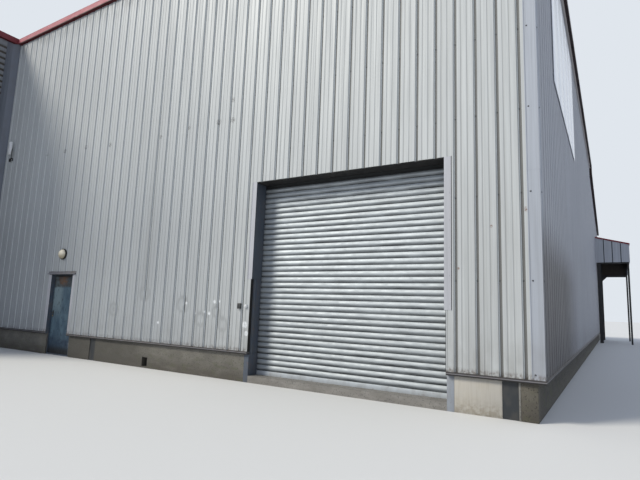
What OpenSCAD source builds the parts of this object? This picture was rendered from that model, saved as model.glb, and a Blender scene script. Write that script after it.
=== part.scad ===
// Steel clad factory hall with a roller shutter, a personnel door and a side canopy.
// Lengths are millimetres. The origin is under the middle of the hall, at ground level.
// X runs along the front wall, Y runs from the front wall into the hall, Z is up.

/* [Hall] */
// Width of the main front wall, from the outer corner to the inner corner
front_w = 16100; // [15900:100:16300]
// Depth of the hall behind the main front wall
hall_d = 34000; // [33800:100:34200]
// Width of the wing, one frame bay
wing_w = 5020; // [4900:20:5200]
// How far the wing stands in front of the main front wall
wing_d = 5000; // [4800:50:5200]
// Height of the top of the wall cladding
wall_top = 10000; // [9900:50:10100]
// Height of the bottom of the wall cladding
clad_base = 600; // [590:5:620]
// Depth of the level part of the roof behind the front wall
level_d = 23000; // [22800:100:23200]
// Height of the cladding where the falling roof starts
fall_top = 9550; // [9500:10:9600]
// Height of the cladding at the rear wall
rear_top = 7750; // [7700:10:7800]
// Spacing of the wind posts in the front wall
front_bay = 5020; // [5000:5:5040]
// Distance from the outer corner to the first wind post
first_post = 480; // [470:5:490]
// Distance from the outer corner to the third wind post
third_post = 10465; // [10455:5:10475]
// Number of frame bays along the hall
hall_bays = 6; // [6:1:6]

/* [Cladding] */
// Thickness of the clad wall
wall_t = 80; // [70:5:90]
// Spacing of the grooves in the wall sheets
groove_pitch = 333.3; // [333:0.1:333.6]
// Distance from the outer corner to the first groove
groove_start = 261; // [258:1:264]
// Width of a groove at the face of the sheet
groove_mouth = 70; // [60:2:72]
// Width of a groove at its bed
groove_bed = 32; // [24:2:36]
// Depth of a groove
groove_deep = 36; // [20:2:40]
// Spacing of the level ribs on the wing
rib_pitch = 200; // [180:10:220]
// Width of the corner flashing on each face
flashing_w = 180; // [170:5:190]
// Thickness of a folded flashing
flashing_t = 4; // [2:1:6]

/* [Plinth and floor] */
// Height of the concrete plinth
plinth_h = 545; // [540:5:560]
// Thickness of the plinth
plinth_t = 180; // [160:5:190]
// Distance from the cladding face back to the plinth face at the front
plinth_back = 45; // [40:5:55]
// Distance from the cladding face back to the plinth face at the sides and the rear
side_back = 105; // [95:5:115]
// Thickness of the floor slab
slab_t = 130; // [120:5:140]

/* [Roof] */
// Height of the roof trim
trim_h = 190; // [160:5:220]
// How far the roof trim stands out from the cladding of the front and the wing
trim_out = 80; // [60:5:90]
// How far the roof trim of a side wall stands out from the cladding
side_out = 130; // [120:5:140]
// Width of the roof trim over the wall
trim_over = 110; // [100:5:130]
// Thickness of the roof
roof_t = 160; // [140:10:180]
// Depth of the level roof below the top of the cladding
roof_down = 320; // [280:10:360]

/* [Frame] */
// Width and depth of a side column
column_w = 280; // [260:10:300]
// Width of a wind post in the front or the rear wall
post_w = 230; // [220:5:240]
// Flange thickness of the columns and rafters
flange_t = 18; // [14:1:22]
// Depth of a rafter
rafter_h = 450; // [400:10:500]
// Height of a wall rail
rail_h = 60; // [50:5:70]
// Depth of a wall rail
rail_d = 90; // [80:5:95]
// Spacing of the wall rails
rail_pitch = 1340; // [1335:5:1345]
// Height of the lowest wall rail
rail_base = 660; // [650:5:670]

/* [Roller shutter] */
// Distance from the outer corner to the shutter opening
shutter_from = 1415; // [1405:5:1425]
// Width of the shutter opening
shutter_w = 3990; // [3980:5:3995]
// Height of the shutter opening above the ground
shutter_top = 4060; // [4040:5:4080]
// Number of slats that show
slats = 35; // [35:1:35]
// Distance from the cladding face back to the curtain
curtain_back = 340; // [335:5:345]
// Thickness of the curtain at the middle of a slat
slat_t = 22; // [18:1:26]
// Distance that a reveal sheet stands inside the edge of the cladding
reveal_in = 29; // [28:1:32]
// Thickness of a reveal sheet
reveal_t = 8; // [6:1:8]
// Width of the steel jamb post at each side of the shutter
jamb_w = 115; // [110:5:120]
// Height where the left reveal sheet ends, torn off below
reveal_base = 2040; // [2000:10:2100]
// Height where the right jamb flashing ends
jamb_cover_base = 1545; // [1500:5:1600]

/* [Door] */
// Distance from the outer corner to the door opening
door_from = 11550; // [11545:1:11555]
// Width of the door opening
door_w = 1000; // [990:1:1000]
// Height of the door opening above the ground
door_top = 2155; // [2145:5:2165]
// Distance from the cladding face back to the door leaf
leaf_back = 100; // [90:5:110]
// Thickness of the door leaf
leaf_t = 45; // [40:1:50]
// Gap around the door leaf
leaf_gap = 7; // [6:1:8]
// Height of the underside of the door leaf
leaf_base = 40; // [38:1:50]
// Thickness of the door lining
lining_t = 12; // [8:1:14]
// Height of the door handle
handle_z = 1120; // [1000:10:1200]
// Distance from the outer corner to the flashing over the door
hood_from = 11415; // [11400:5:11420]
// Width of the flashing over the door
hood_w = 1300; // [1280:5:1320]
// How far the flashing over the door stands out
hood_out = 40; // [30:5:50]
// Radius of a hinge knuckle
knuckle_r = 8; // [7:0.5:8]
// Height of a hinge
hinge_h = 120; // [100:10:140]
// Distance from the middle of the leaf to the middle of its upper and its lower hinge
hinge_reach = 800; // [700:10:850]

/* [Fittings] */
// Diameter of the round wall lamp
lamp_d = 300; // [280:5:320]
// Thickness of the base of the wall lamp
lamp_base_t = 45; // [30:5:60]
// Distance from the outer corner to the wall lamp
lamp_from = 12090; // [12050:10:12150]
// Height of the wall lamp
lamp_z = 2730; // [2700:10:2760]
// Length of the sign board on the right wall
sign_w = 6050; // [6000:10:6100]
// Height of the sign board
sign_h = 3250; // [3200:10:3300]
// Distance from the outer corner to the sign board
sign_from = 2720; // [2700:10:2750]
// Height of the bottom of the sign board
sign_z = 6290; // [6250:10:6350]
// Distance from the outer corner to the small floodlight
flood_from = 15560; // [15540:5:15580]
// Height of the small floodlight
flood_z = 6070; // [6050:10:6090]

/* [Canopy] */
// Distance from the front wall to the canopy
canopy_from = 28000; // [27900:50:28100]
// Width of the canopy
canopy_w = 1850; // [1800:10:1900]
// Height of the canopy where it meets the wall
canopy_top = 6700; // [6650:10:6750]
// Fall of the canopy roof across its width
canopy_fall = 495; // [450:5:520]
// Height of the underside of the canopy cladding
canopy_base = 5100; // [5050:10:5150]
// Height of the underside of the cladding at the far end of the canopy
canopy_far_base = 4720; // [4700:10:4750]
// Width of a canopy post
canopy_post = 100; // [90:5:110]
// Width of a canopy post beside the wall
canopy_wall_post = 200; // [190:5:210]
// Gap between the wall and the canopy posts beside it
canopy_wall_gap = 40; // [35:5:50]
// Height of the beam under the near end of the canopy
near_beam_h = 80; // [70:5:90]
// Height of the beam under the far end of the canopy
far_beam_h = 150; // [140:5:160]

/* [Hidden] */
total_w = front_w + wing_w;
x_right = total_w / 2;
x_left = -total_w / 2;
x_inner = x_right - front_w;
y_front = -hall_d / 2;
y_rear = hall_d / 2;
y_wing = y_front - wing_d;
y_fall = y_front + level_d;
fall_slope = (fall_top - rear_top) / (hall_d - level_d);
small = 1;
// Sealing gap under a trim that follows a slope.
seal = 0.5;
// Overlap of the left jamb post with the edge of the cladding.
jamb_lap = 15;
// Gap between a jamb post and what stands beside it or in front of it.
post_gap = 5;
shutter_left = shutter_from + shutter_w;
jamb_left = shutter_left - jamb_lap;
jamb_left_to = jamb_left + jamb_w;
jamb_right = shutter_from - jamb_w;
guide_front = 20;
jamb_back = curtain_back - guide_front;
bottom_bar_h = 85;
shutter_base = slab_t + bottom_bar_h;
curtain_top = shutter_top - 15;
curtain_in = 50;
curtain_t = slat_t + 10;
post_back = wall_t + rail_d;
column_back = plinth_back + plinth_t;
door_left = door_from + door_w;
leaf_from = door_from + lining_t + leaf_gap;
leaf_to = door_left - lining_t - leaf_gap;
leaf_top = door_top - leaf_gap;
knuckle_gap = 1;
pin_r = 4;
hinge_plate_t = 3;
hinge_u = door_from + lining_t + knuckle_gap + knuckle_r;
hinge_v = leaf_back - knuckle_gap - knuckle_r;
hinge_places = [for (k = [-1 : 1]) (leaf_base + leaf_top) / 2 + k * hinge_reach];
canopy_sheet = 60;
canopy_wall = 40;
canopy_edge = 30;
canopy_inset = 50;
canopy_post_x = canopy_w - canopy_inset - canopy_post;
canopy_to = hall_d - flashing_w - canopy_wall;
canopy_post_places = [canopy_from + canopy_inset, canopy_to - canopy_inset - canopy_post];
canopy_slope = canopy_fall / canopy_w;
canopy_eave = canopy_top - canopy_fall;
drip_out = 15;
// Places of the wind posts from the outer corner: the second one stands behind the plinth.
post_places = [first_post, jamb_left_to + post_w / 2 + post_gap,
    third_post, first_post + 3 * front_bay];
rear_post_places = [for (k = [1 : 3]) k * total_w / 4];
frame_places = [for (k = [1 : hall_bays - 1]) k * hall_d / hall_bays];
groove_count = ceil((hall_d + wing_d) / groove_pitch);
roof_z = wall_top - roof_down - roof_t;
rail_rows = 7;
steel_grey = "#8d9196";
sheet_grey = "#b4b9bc";
shade_grey = "#8b8f98";
wing_grey = "#5d646c";
trim_red = "#b5504f";
concrete = "#a8a49a";
galvanised = "#c3c9cb";
flashing_grey = "#a9b1ba";
post_grey = "#3f4650";
door_blue = "#3f6076";
cream = "#d8d2c4";
handle_black = "#22252a";
lamp_brown = "#2b2a26";
opal = "#e8dcc0";
housing_white = "#e6e8ea";
sign_white = "#dfe3ea";

// Height of the cladding at distance y from the front wall.
function wall_height(y) = y <= level_d ? wall_top : fall_top - (y - level_d) * fall_slope;

// Middles of the grooves that fit whole between u0 and u1, counted from start.
function groove_middles(u0, u1, start) = [
    for (k = [0 : groove_count])
        let (c = start + k * groove_pitch)
        if (c - groove_mouth / 2 > u0 && c + groove_mouth / 2 < u1) c
];

// Outline of one strip of wall, with its face along v = 0 and its grooves cut into that face.
function strip_outline(u0, u1, middles) = concat(
    [[u0, 0]],
    [for (c = middles, p = [
        [c - groove_mouth / 2, 0], [c - groove_bed / 2, groove_deep],
        [c + groove_bed / 2, groove_deep], [c + groove_mouth / 2, 0]
    ]) p],
    [[u1, 0], [u1, wall_t], [u0, wall_t]]
);

// Clad strip that stands between two heights.
module strip(u0, u1, z0, z1, start) {
    translate([0, 0, z0]) linear_extrude(z1 - z0)
        polygon(strip_outline(u0, u1, groove_middles(u0, u1, start)));
}

// Puts children, drawn with u to the left from the outer corner, on the front wall.
module on_front() {
    translate([x_right, y_front, 0]) mirror([1, 0, 0]) children();
}

// Puts children, drawn with u back from the front wall, on the right wall.
module on_right() {
    translate([x_right, y_front, 0]) rotate([0, 0, 90]) children();
}

// Puts children, drawn with u to the left from the right wall, on the rear wall.
module on_rear() {
    translate([x_right, y_rear, 0]) rotate([0, 0, 180]) children();
}

// Puts children, drawn with u to the front from the rear wall, on the left wall.
module on_left() {
    translate([x_left, y_rear, 0]) rotate([0, 0, -90]) children();
}

// Puts children, drawn with u to the front from the main front wall, on the wing's inner wall.
module on_inner() {
    translate([x_inner, y_front, 0]) rotate([0, 0, 90]) mirror([1, 0, 0]) children();
}

// Puts children, drawn with u to the left from the wing's corner, on the wing's front wall.
module on_wing() {
    translate([x_inner, y_wing, 0]) mirror([1, 0, 0]) children();
}

// Bar between two points of the u, v, z frame of a wall.
module bar(u0, u1, v0, v1, z0, z1) {
    translate([u0, v0, z0]) cube([u1 - u0, v1 - v0, z1 - z0]);
}

// H section with its flanges across u, from v0 inwards.
module h_post(u, v0, z0, z1, w) {
    translate([u, v0 + w / 2, z0]) linear_extrude(z1 - z0) union() {
        translate([-w / 2, -w / 2]) square([w, flange_t]);
        translate([-w / 2, w / 2 - flange_t]) square([w, flange_t]);
        translate([-flange_t / 2, -w / 2]) square([flange_t, w]);
    }
}

// Space that a wind post takes out of the slab.
module slab_notch(u) {
    bar(u - post_w / 2 - small, u + post_w / 2 + small, 0, post_back + post_w + small,
        -small, slab_t + small);
}

module floor_slab() {
    color(concrete)
    difference() {
        translate([x_left + column_back, y_front + column_back, 0])
            cube([total_w - 2 * column_back, hall_d - 2 * column_back, slab_t]);
        on_front() {
            for (u = post_places)
                slab_notch(u);
            for (u = [jamb_right, jamb_left])
                bar(u - small, u + jamb_w + small, 0, jamb_back + small, -small, slab_t + small);
        }
    }
    color(concrete) on_front()
        bar(shutter_from, jamb_left, plinth_back, column_back, 0, slab_t);
}

module wing_floor() {
    color(concrete)
    translate([x_left + column_back, y_wing + column_back, 0])
        cube([wing_w - 2 * column_back, wing_d, slab_t]);
}

// Plinth bar between two distances along a wall, at its face's distance back from the cladding.
module plinth(u0, u1, back = plinth_back) {
    bar(u0, u1, back, column_back, 0, plinth_h);
}

// Gap in the plinth where the foot of a wind post shows.
module stub_gap(u) {
    bar(u - post_w / 2, u + post_w / 2, 0, column_back + small, -small, plinth_h + small);
}

// Notch in the back of the plinth for the wind post that doesn't show.
module back_notch(u) {
    bar(u - post_w / 2 - small, u + post_w / 2 + small, post_back - small, column_back + small,
        -small, plinth_h + small);
}

module front_plinth() {
    drain_u = 8460;
    drain_w = 180;
    drain_z = 35;
    drain_h = 205;
    // Step in the face of the plinth beside the door.
    rebate = 90;
    color(concrete) on_front() difference() {
        plinth(jamb_left_to, door_from);
        back_notch(post_places[1]);
        stub_gap(post_places[2]);
        bar(drain_u - drain_w / 2, drain_u + drain_w / 2, 0, column_back + small, drain_z, drain_z + drain_h);
        bar(door_from - rebate, door_from + small, 0, wall_t, -small, plinth_h + small);
    }
    color(concrete) on_front() difference() {
        plinth(door_left, front_w + column_back);
        stub_gap(post_places[3]);
    }
}

module corner_plinth() {
    color(cream) on_front() difference() {
        plinth(side_back, jamb_right);
        stub_gap(post_places[0]);
    }
}

module side_plinths() {
    color(concrete) on_right() plinth(column_back, hall_d - side_back, side_back);
    color(concrete) on_left() plinth(side_back, hall_d + wing_d - plinth_back, side_back);
}

module rear_plinth() {
    color(concrete) on_rear() plinth(column_back, total_w - column_back, side_back);
}

module wing_plinth() {
    color(concrete) on_wing() plinth(plinth_back, wing_w - column_back);
    color(concrete) on_inner() plinth(-plinth_back, wing_d - column_back - small);
}

module front_posts() {
    foot_back = 15;
    color(post_grey) on_front() for (k = [0 : len(post_places) - 1]) {
        u = post_places[k];
        h_post(u, post_back, 0, roof_z, post_w);
        if (k != 1)
            bar(u - post_w / 2, u + post_w / 2, plinth_back + foot_back, post_back + flange_t, 0, plinth_h);
    }
}

module hall_columns() {
    color(post_grey) for (y = frame_places) {
        on_right() h_post(y, column_back, slab_t, rafter_z(y), column_w);
        on_left() h_post(hall_d - y, column_back, slab_t, rafter_z(y), column_w);
    }
    color(post_grey) on_rear() for (u = rear_post_places)
        h_post(u, column_back, slab_t, rear_top + column_back * fall_slope - roof_t, post_w);
}

// Height of the underside of the rafter of the frame at y.
function rafter_z(y) = wall_height(y + column_w / 2) - (y <= level_d ? roof_down : 0) - roof_t - rafter_h;

module rafters() {
    color(post_grey) for (y = frame_places)
        translate([x_left + column_back, y_front + y, rafter_z(y) + rafter_h / 2])
            rotate([90, 0, 90]) linear_extrude(total_w - 2 * column_back) union() {
                translate([-column_w / 2, -rafter_h / 2]) square([column_w, flange_t]);
                translate([-column_w / 2, rafter_h / 2 - flange_t]) square([column_w, flange_t]);
                translate([-flange_t / 2, -rafter_h / 2]) square([flange_t, rafter_h]);
            }
}

// One rail behind the cladding, between two distances along a wall.
module rail(u0, u1, row, depth) {
    bar(u0, u1, wall_t, depth, rail_base + row * rail_pitch, rail_base + row * rail_pitch + rail_h);
}

module front_rails() {
    color(steel_grey) on_front() for (row = [0 : rail_rows - 1]) {
        z = rail_base + row * rail_pitch;
        if (z < door_top) {
            rail(column_back, jamb_right, row, post_back);
            rail(jamb_left_to, door_from, row, post_back);
            rail(door_left, front_w, row, post_back);
        } else if (z < shutter_top) {
            rail(column_back, jamb_right, row, post_back);
            rail(jamb_left_to, front_w, row, post_back);
        } else
            rail(column_back, front_w, row, post_back);
    }
}

module side_rails() {
    color(steel_grey) on_right() for (row = [0 : rail_rows - 1]) {
        z = rail_base + row * rail_pitch + rail_h;
        reach = z < rear_top - roof_t ? hall_d - column_back
            : min(hall_d - column_back, level_d + (fall_top - roof_t - z) / fall_slope);
        rail(wall_t, reach, row, column_back);
    }
    color(steel_grey) on_left() for (row = [0 : rail_rows - 1]) {
        z = rail_base + row * rail_pitch + rail_h;
        start = z < rear_top - roof_t ? column_back
            : max(column_back, hall_d - level_d - (fall_top - roof_t - z) / fall_slope);
        rail(start, hall_d + wing_d - wall_t, row, column_back);
    }
    color(steel_grey) on_rear() for (row = [0 : rail_rows - 1])
        if (rail_base + row * rail_pitch + rail_h < rear_top - roof_t)
            rail(column_back + small, total_w - column_back - small, row, column_back);
}

module front_wall_left() {
    color(sheet_grey) on_front() strip(door_left, front_w, clad_base, wall_top, groove_start);
}

module front_wall_middle() {
    color(sheet_grey) on_front() strip(shutter_left, door_from, clad_base, wall_top, groove_start);
}

module front_wall_right() {
    color(sheet_grey) on_front() strip(0, shutter_from, clad_base, wall_top, groove_start);
}

module front_wall_over_openings() {
    color(sheet_grey) on_front() {
        strip(shutter_from, shutter_left, shutter_top, wall_top, groove_start);
        strip(door_from, door_left, door_top + lining_t, wall_top, groove_start);
    }
}

// Cuts the space above the falling part of the side walls.
module falling_cut(u0, u1, z0, z1) {
    rotate([90, 0, 0]) translate([0, 0, -wall_t - small]) linear_extrude(wall_t + 2 * small)
        polygon([[u0, z0], [u1, z1], [u1, wall_top + small], [u0, wall_top + small]]);
}

module right_wall() {
    color(shade_grey) on_right() difference() {
        strip(wall_t, hall_d, clad_base, wall_top, groove_start);
        falling_cut(level_d, hall_d + small, fall_top, rear_top - small * fall_slope);
    }
}

module left_wall() {
    color(shade_grey) on_left() difference() {
        strip(0, hall_d + wing_d, clad_base, wall_top, groove_start);
        falling_cut(-small, hall_d - level_d, rear_top - small * fall_slope, fall_top);
    }
}

module rear_wall() {
    color(shade_grey) on_rear() strip(wall_t, total_w - wall_t, clad_base, rear_top, groove_start);
}

// Wall with level ribs, drawn as a section in v and z that runs along u.
module ribbed_wall(u0, u1) {
    rib_count = floor((wall_top - clad_base) / rib_pitch);
    rib_deep = 25;
    // Depth, and share of the pitch, of the four corners of one channel between two ribs.
    channel = [[0, 0.45], [rib_deep, 0.55], [rib_deep, 0.9], [0, 1]];
    outline = concat(
        [[wall_t, wall_top], [wall_t, clad_base], [0, clad_base]],
        [for (k = [0 : rib_count - 1], p = channel) [p[0], clad_base + (k + p[1]) * rib_pitch]],
        [[0, wall_top]]
    );
    translate([u0, 0, 0]) rotate([90, 0, 90]) linear_extrude(u1 - u0) polygon(outline);
}

module wing_inner_wall() {
    color(wing_grey) on_inner() ribbed_wall(-wall_t, wing_d);
}

module wing_front_wall() {
    color(wing_grey) on_wing() ribbed_wall(wall_t, wing_w - wall_t);
}

module main_roof() {
    color(steel_grey) translate([x_left + wall_t, y_front + wall_t, roof_z])
        cube([total_w - 2 * wall_t, level_d - 2 * wall_t, roof_t]);
}

module wing_roof() {
    color(steel_grey) translate([x_left + wall_t, y_wing + wall_t, roof_z])
        cube([wing_w - 2 * wall_t, wing_d, roof_t]);
}

module rear_roof() {
    run = hall_d - level_d - wall_t;
    color(steel_grey) translate([x_left + wall_t, y_fall, fall_top])
        rotate([90, 0, 90]) linear_extrude(total_w - 2 * wall_t)
            polygon([[0, 0], [run, -run * fall_slope], [run, -run * fall_slope - roof_t], [0, -roof_t]]);
}

module roof_step() {
    color(sheet_grey) translate([x_left + wall_t, y_fall - wall_t, fall_top - roof_t - rafter_h / 2])
        cube([total_w - 2 * wall_t, wall_t, wall_top - fall_top + roof_t + rafter_h / 2]);
}

// Folded trim on top of a wall, between two distances along it.
module trim(u0, u1, z) {
    bar(u0, u1, -trim_out, trim_over, z, z + trim_h);
}

module front_trim() {
    color(trim_red) on_front() trim(trim_over, front_w - trim_out, wall_top);
}

module wing_trim() {
    color(trim_red) on_wing() trim(-trim_out, wing_w + side_out, wall_top);
    color(trim_red) on_inner() trim(-trim_over, wing_d - trim_over - small, wall_top);
}

// Trim that follows the level and the falling top of a side wall.
module side_trim(front_end) {
    rotate([90, 0, 0]) translate([0, 0, -trim_over]) linear_extrude(trim_over + side_out) polygon([
        [front_end, wall_top], [level_d, wall_top],
        [level_d, wall_top + trim_h], [front_end, wall_top + trim_h]
    ]);
    // Width of the upright piece that closes the step between the level and the falling trim.
    step_w = 60;
    fall_end = rear_top + wall_t * fall_slope + seal;
    fall_start = fall_top - small * fall_slope + seal;
    rotate([90, 0, 0]) translate([0, 0, -trim_over]) linear_extrude(trim_over + side_out) polygon([
        [level_d + small, fall_start], [hall_d - wall_t, fall_end], [hall_d - wall_t, fall_end + trim_h],
        [level_d + step_w, fall_start + trim_h - (step_w - small) * fall_slope],
        [level_d + step_w, wall_top + trim_h], [level_d + small, wall_top + trim_h]
    ]);
}

module side_trims() {
    color(trim_red) on_right() side_trim(-trim_out);
    color(trim_red) translate([x_left, y_front, 0]) mirror([1, 0, 0]) rotate([0, 0, 90])
        side_trim(trim_over - wing_d);
}

module rear_trims() {
    color(trim_red) on_rear()
        bar(-side_out, total_w + side_out, -trim_out, wall_t, rear_top + wall_t * fall_slope,
            rear_top + wall_t * fall_slope + trim_h);
    color(trim_red) translate([x_left + trim_over, y_fall - trim_over, wall_top])
        cube([total_w - 2 * trim_over, trim_over, trim_h]);
}

// Folded angle on an outer corner, drawn with the corner at the origin.
module corner_angle(w, z0, z1) {
    translate([0, 0, z0]) linear_extrude(z1 - z0)
        polygon([
            [-w, -flashing_t], [flashing_t, -flashing_t], [flashing_t, w], [0, w], [0, 0], [-w, 0]
        ]);
}

module outer_corner_flashings() {
    color(flashing_grey) {
        translate([x_right, y_front, 0]) corner_angle(flashing_w, clad_base, wall_top);
        translate([x_right, y_rear, 0]) rotate([0, 0, 90]) corner_angle(flashing_w, clad_base, rear_top);
        translate([x_left, y_rear, 0]) rotate([0, 0, 180]) corner_angle(flashing_w, clad_base, rear_top);
        translate([x_left, y_wing, 0]) rotate([0, 0, -90]) corner_angle(flashing_w, clad_base, wall_top);
        translate([x_inner, y_wing, 0]) corner_angle(flashing_w, clad_base, wall_top);
    }
}

module inner_corner_flashing() {
    cover = 380;
    fold = 90;
    lap = 14;
    color(wing_grey) translate([x_inner, y_front, clad_base]) linear_extrude(wall_top - clad_base)
        polygon([[0, 0], [0, -cover], [flashing_t, -cover], [flashing_t, -cover / 2],
            [fold, -lap], [fold, 0]]);
}

module corner_flashings() {
    outer_corner_flashings();
    inner_corner_flashing();
}

// Base angle with its drip, which reaches back over the plinth.
module drip(u0, u1, back = wall_t) {
    bar(u0, u1, -drip_out, back, plinth_h, clad_base);
}

module drip_flashing() {
    plinth_lap = 30;
    side_cover = side_back + plinth_lap;
    turn = wall_t + small;
    color(flashing_grey) {
        on_front() {
            drip(-drip_out, shutter_from);
            drip(shutter_left, door_from);
            drip(door_left, front_w - drip_out - small);
        }
        on_right() drip(turn, hall_d - side_cover - small, side_cover);
        on_rear() drip(-drip_out, total_w + drip_out, side_cover);
        on_left() drip(side_cover + small, hall_d + wing_d - turn, side_cover);
        on_wing() drip(-drip_out, wing_w + drip_out);
        on_inner() drip(-wall_t, wing_d - turn);
    }
}

// Section of the shutter curtain in v and z: each slat is a bulge between two narrow locks.
function slat_points(pitch) =
    let (half_arc = 80, arc_step = 32, bulge_share = 0.92, reach = bulge_share / (2 * sin(half_arc)))
    [
        for (k = [0 : slats - 1], a = [-half_arc : arc_step : half_arc])
            [slat_t * (1 - cos(a)), shutter_base + pitch * (k + 0.5 + reach * sin(a))]
    ];

module shutter_curtain() {
    pitch = (curtain_top - shutter_base) / slats;
    color(galvanised) on_front()
        translate([shutter_from - curtain_in, curtain_back, 0]) rotate([90, 0, 90])
            linear_extrude(jamb_left - shutter_from + 2 * curtain_in)
                polygon(concat(slat_points(pitch),
                    [[slat_t, shutter_top], [curtain_t, shutter_top], [curtain_t, shutter_base]]));
}

module shutter_bottom_bar() {
    proud = 5;
    color(galvanised) on_front()
        bar(shutter_from - curtain_in, jamb_left + curtain_in, curtain_back - proud, curtain_back + curtain_t,
            slab_t, shutter_base);
}

module shutter_guides() {
    guide_gap = 4;
    guide_d = 80;
    color(steel_grey) on_front() {
        bar(jamb_right, shutter_from - curtain_in - guide_gap, jamb_back, jamb_back + guide_d,
            slab_t, shutter_top);
        bar(jamb_left + curtain_in + guide_gap, jamb_left_to, jamb_back, jamb_back + guide_d,
            slab_t, shutter_top);
    }
}

module shutter_housing() {
    housing_d = 500;
    housing_h = 480;
    color(steel_grey) on_front()
        bar(jamb_right, jamb_left_to, jamb_back, jamb_back + housing_d, shutter_top, shutter_top + housing_h);
}

// Steel post beside the shutter, with a foot that comes forward to the face of the plinth.
module jamb_post(u) {
    front = wall_t + post_gap;
    bar(u, u + jamb_w, front, jamb_back, 0, shutter_top);
    bar(u, u + jamb_w, plinth_back, front + small, 0, plinth_h);
}

module jamb_posts() {
    color(flashing_grey) on_front() {
        jamb_post(jamb_right);
        jamb_post(jamb_left);
    }
}

// Folded flashing round one edge of the opening: a cover on the cladding and a reveal sheet.
module jamb_angle(cover_from, cover_to, reveal_u, z0) {
    bar(cover_from, cover_to, -flashing_t, 0, z0, shutter_top);
    bar(reveal_u, reveal_u + reveal_t, -flashing_t, jamb_back, z0, shutter_top);
}

module jamb_flashing() {
    right_cover = 88;
    left_cover = 85;
    reveal_gap = 2;
    reveal_right = shutter_from + reveal_in - reveal_t;
    reveal_left = jamb_left - reveal_gap - reveal_t;
    color(flashing_grey) on_front() {
        jamb_angle(shutter_from - right_cover, shutter_from + reveal_in, reveal_right, jamb_cover_base);
        jamb_angle(reveal_left, shutter_left + left_cover, reveal_left, reveal_base);
    }
}

module door_frame() {
    stop_w = 45;
    stop_front = leaf_back + leaf_t + leaf_gap;
    stop_back = column_back;
    sill = leaf_base - leaf_gap;
    color(post_grey) on_front() difference() {
        bar(door_from, door_left, -flashing_t, stop_back, 0, door_top + lining_t);
        bar(door_from + lining_t, door_left - lining_t, -2 * flashing_t, stop_front, sill, door_top);
        bar(door_from + stop_w, door_left - stop_w, -2 * flashing_t, stop_back + small,
            sill, door_top - stop_w);
        bar(door_from - small, door_left + small, -2 * flashing_t, wall_t, -small, plinth_h);
    }
}

module door_leaf() {
    color(door_blue) on_front() bar(leaf_from, leaf_to, leaf_back, leaf_back + leaf_t, leaf_base, leaf_top);
}

module door_handle() {
    backset = 75;
    handle_u = leaf_to - backset;
    plate_w = 40;
    plate_t = 8;
    plate_up = 60;
    plate_down = 110;
    rod_r = 9;
    reach = 50;
    lever = 125;
    color(handle_black) on_front() {
        bar(handle_u - plate_w / 2, handle_u + plate_w / 2, leaf_back - plate_t, leaf_back,
            handle_z - plate_down, handle_z + plate_up);
        translate([handle_u, leaf_back - plate_t, handle_z]) rotate([90, 0, 0])
            cylinder(h = reach, r = rod_r, $fn = 24);
        translate([handle_u, leaf_back - plate_t - reach + rod_r, handle_z]) rotate([0, -90, 0])
            cylinder(h = lever, r = rod_r, $fn = 24);
    }
}

// Fixed half of each hinge: the pin, the lower knuckle and its plate on the lining.
module hinge_pins() {
    color(steel_grey) on_front() for (z = hinge_places) union() {
        translate([hinge_u, hinge_v, z - hinge_h / 2]) cylinder(h = hinge_h, r = pin_r, $fn = 32);
        translate([hinge_u, hinge_v, z - hinge_h / 2])
            cylinder(h = hinge_h / 2 - knuckle_gap, r = knuckle_r, $fn = 32);
        bar(door_from + lining_t, hinge_u, hinge_v - hinge_plate_t / 2, hinge_v + hinge_plate_t / 2,
            z - hinge_h / 2, z - knuckle_gap);
    }
}

// Moving half of each hinge: the upper knuckle, bored for the pin, and its plate on the leaf.
module leaf_knuckles() {
    plate_to = hinge_u + 32;
    bore_r = pin_r + knuckle_gap;
    color(steel_grey) on_front() for (z = hinge_places) difference() {
        union() {
            translate([hinge_u, hinge_v, z]) cylinder(h = hinge_h / 2, r = knuckle_r, $fn = 32);
            bar(hinge_u, plate_to, leaf_back - hinge_plate_t, leaf_back, z, z + hinge_h / 2);
        }
        translate([hinge_u, hinge_v, z - small])
            cylinder(h = hinge_h / 2 + 2 * small, r = bore_r, $fn = 32);
    }
}

module door_hood() {
    rise = 20;
    upstand = 85;
    lip = 30;
    color(flashing_grey) on_front() rotate([90, 0, 90]) translate([0, 0, hood_from])
        linear_extrude(hood_w) polygon([
            [0, door_top + rise + upstand], [0, door_top + rise],
            [-hood_out, door_top + rise], [-hood_out, door_top + rise + lip]
        ]);
}

module lamp_base() {
    color(lamp_brown) on_front() translate([lamp_from, 0, lamp_z]) rotate([90, 0, 0])
        cylinder(h = lamp_base_t, r = lamp_d / 2, $fn = 64);
}

module lamp_glass() {
    rim = 22;
    glass_r = lamp_d / 2 - rim;
    glass_h = 85;
    color(opal) on_front() translate([lamp_from, -lamp_base_t, lamp_z]) rotate([90, 0, 0])
        rotate_extrude($fn = 64) polygon(concat([[0, 0]],
            [for (a = [0 : 15 : 90]) [glass_r * cos(a), glass_h * sin(a)]]));
}

module floodlight() {
    arm_w = 40;
    arm_h = 210;
    arm_out = 60;
    head_w = 120;
    head_d = 90;
    head_h = 410;
    head_down = 20;
    color(housing_white) on_front() {
        bar(flood_from - arm_w / 2, flood_from + arm_w / 2, -arm_out, 0, flood_z - arm_h, flood_z);
        bar(flood_from - head_w / 2, flood_from + head_w / 2, -arm_out - head_d, -arm_out,
            flood_z - head_down, flood_z - head_down + head_h);
    }
}

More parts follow.
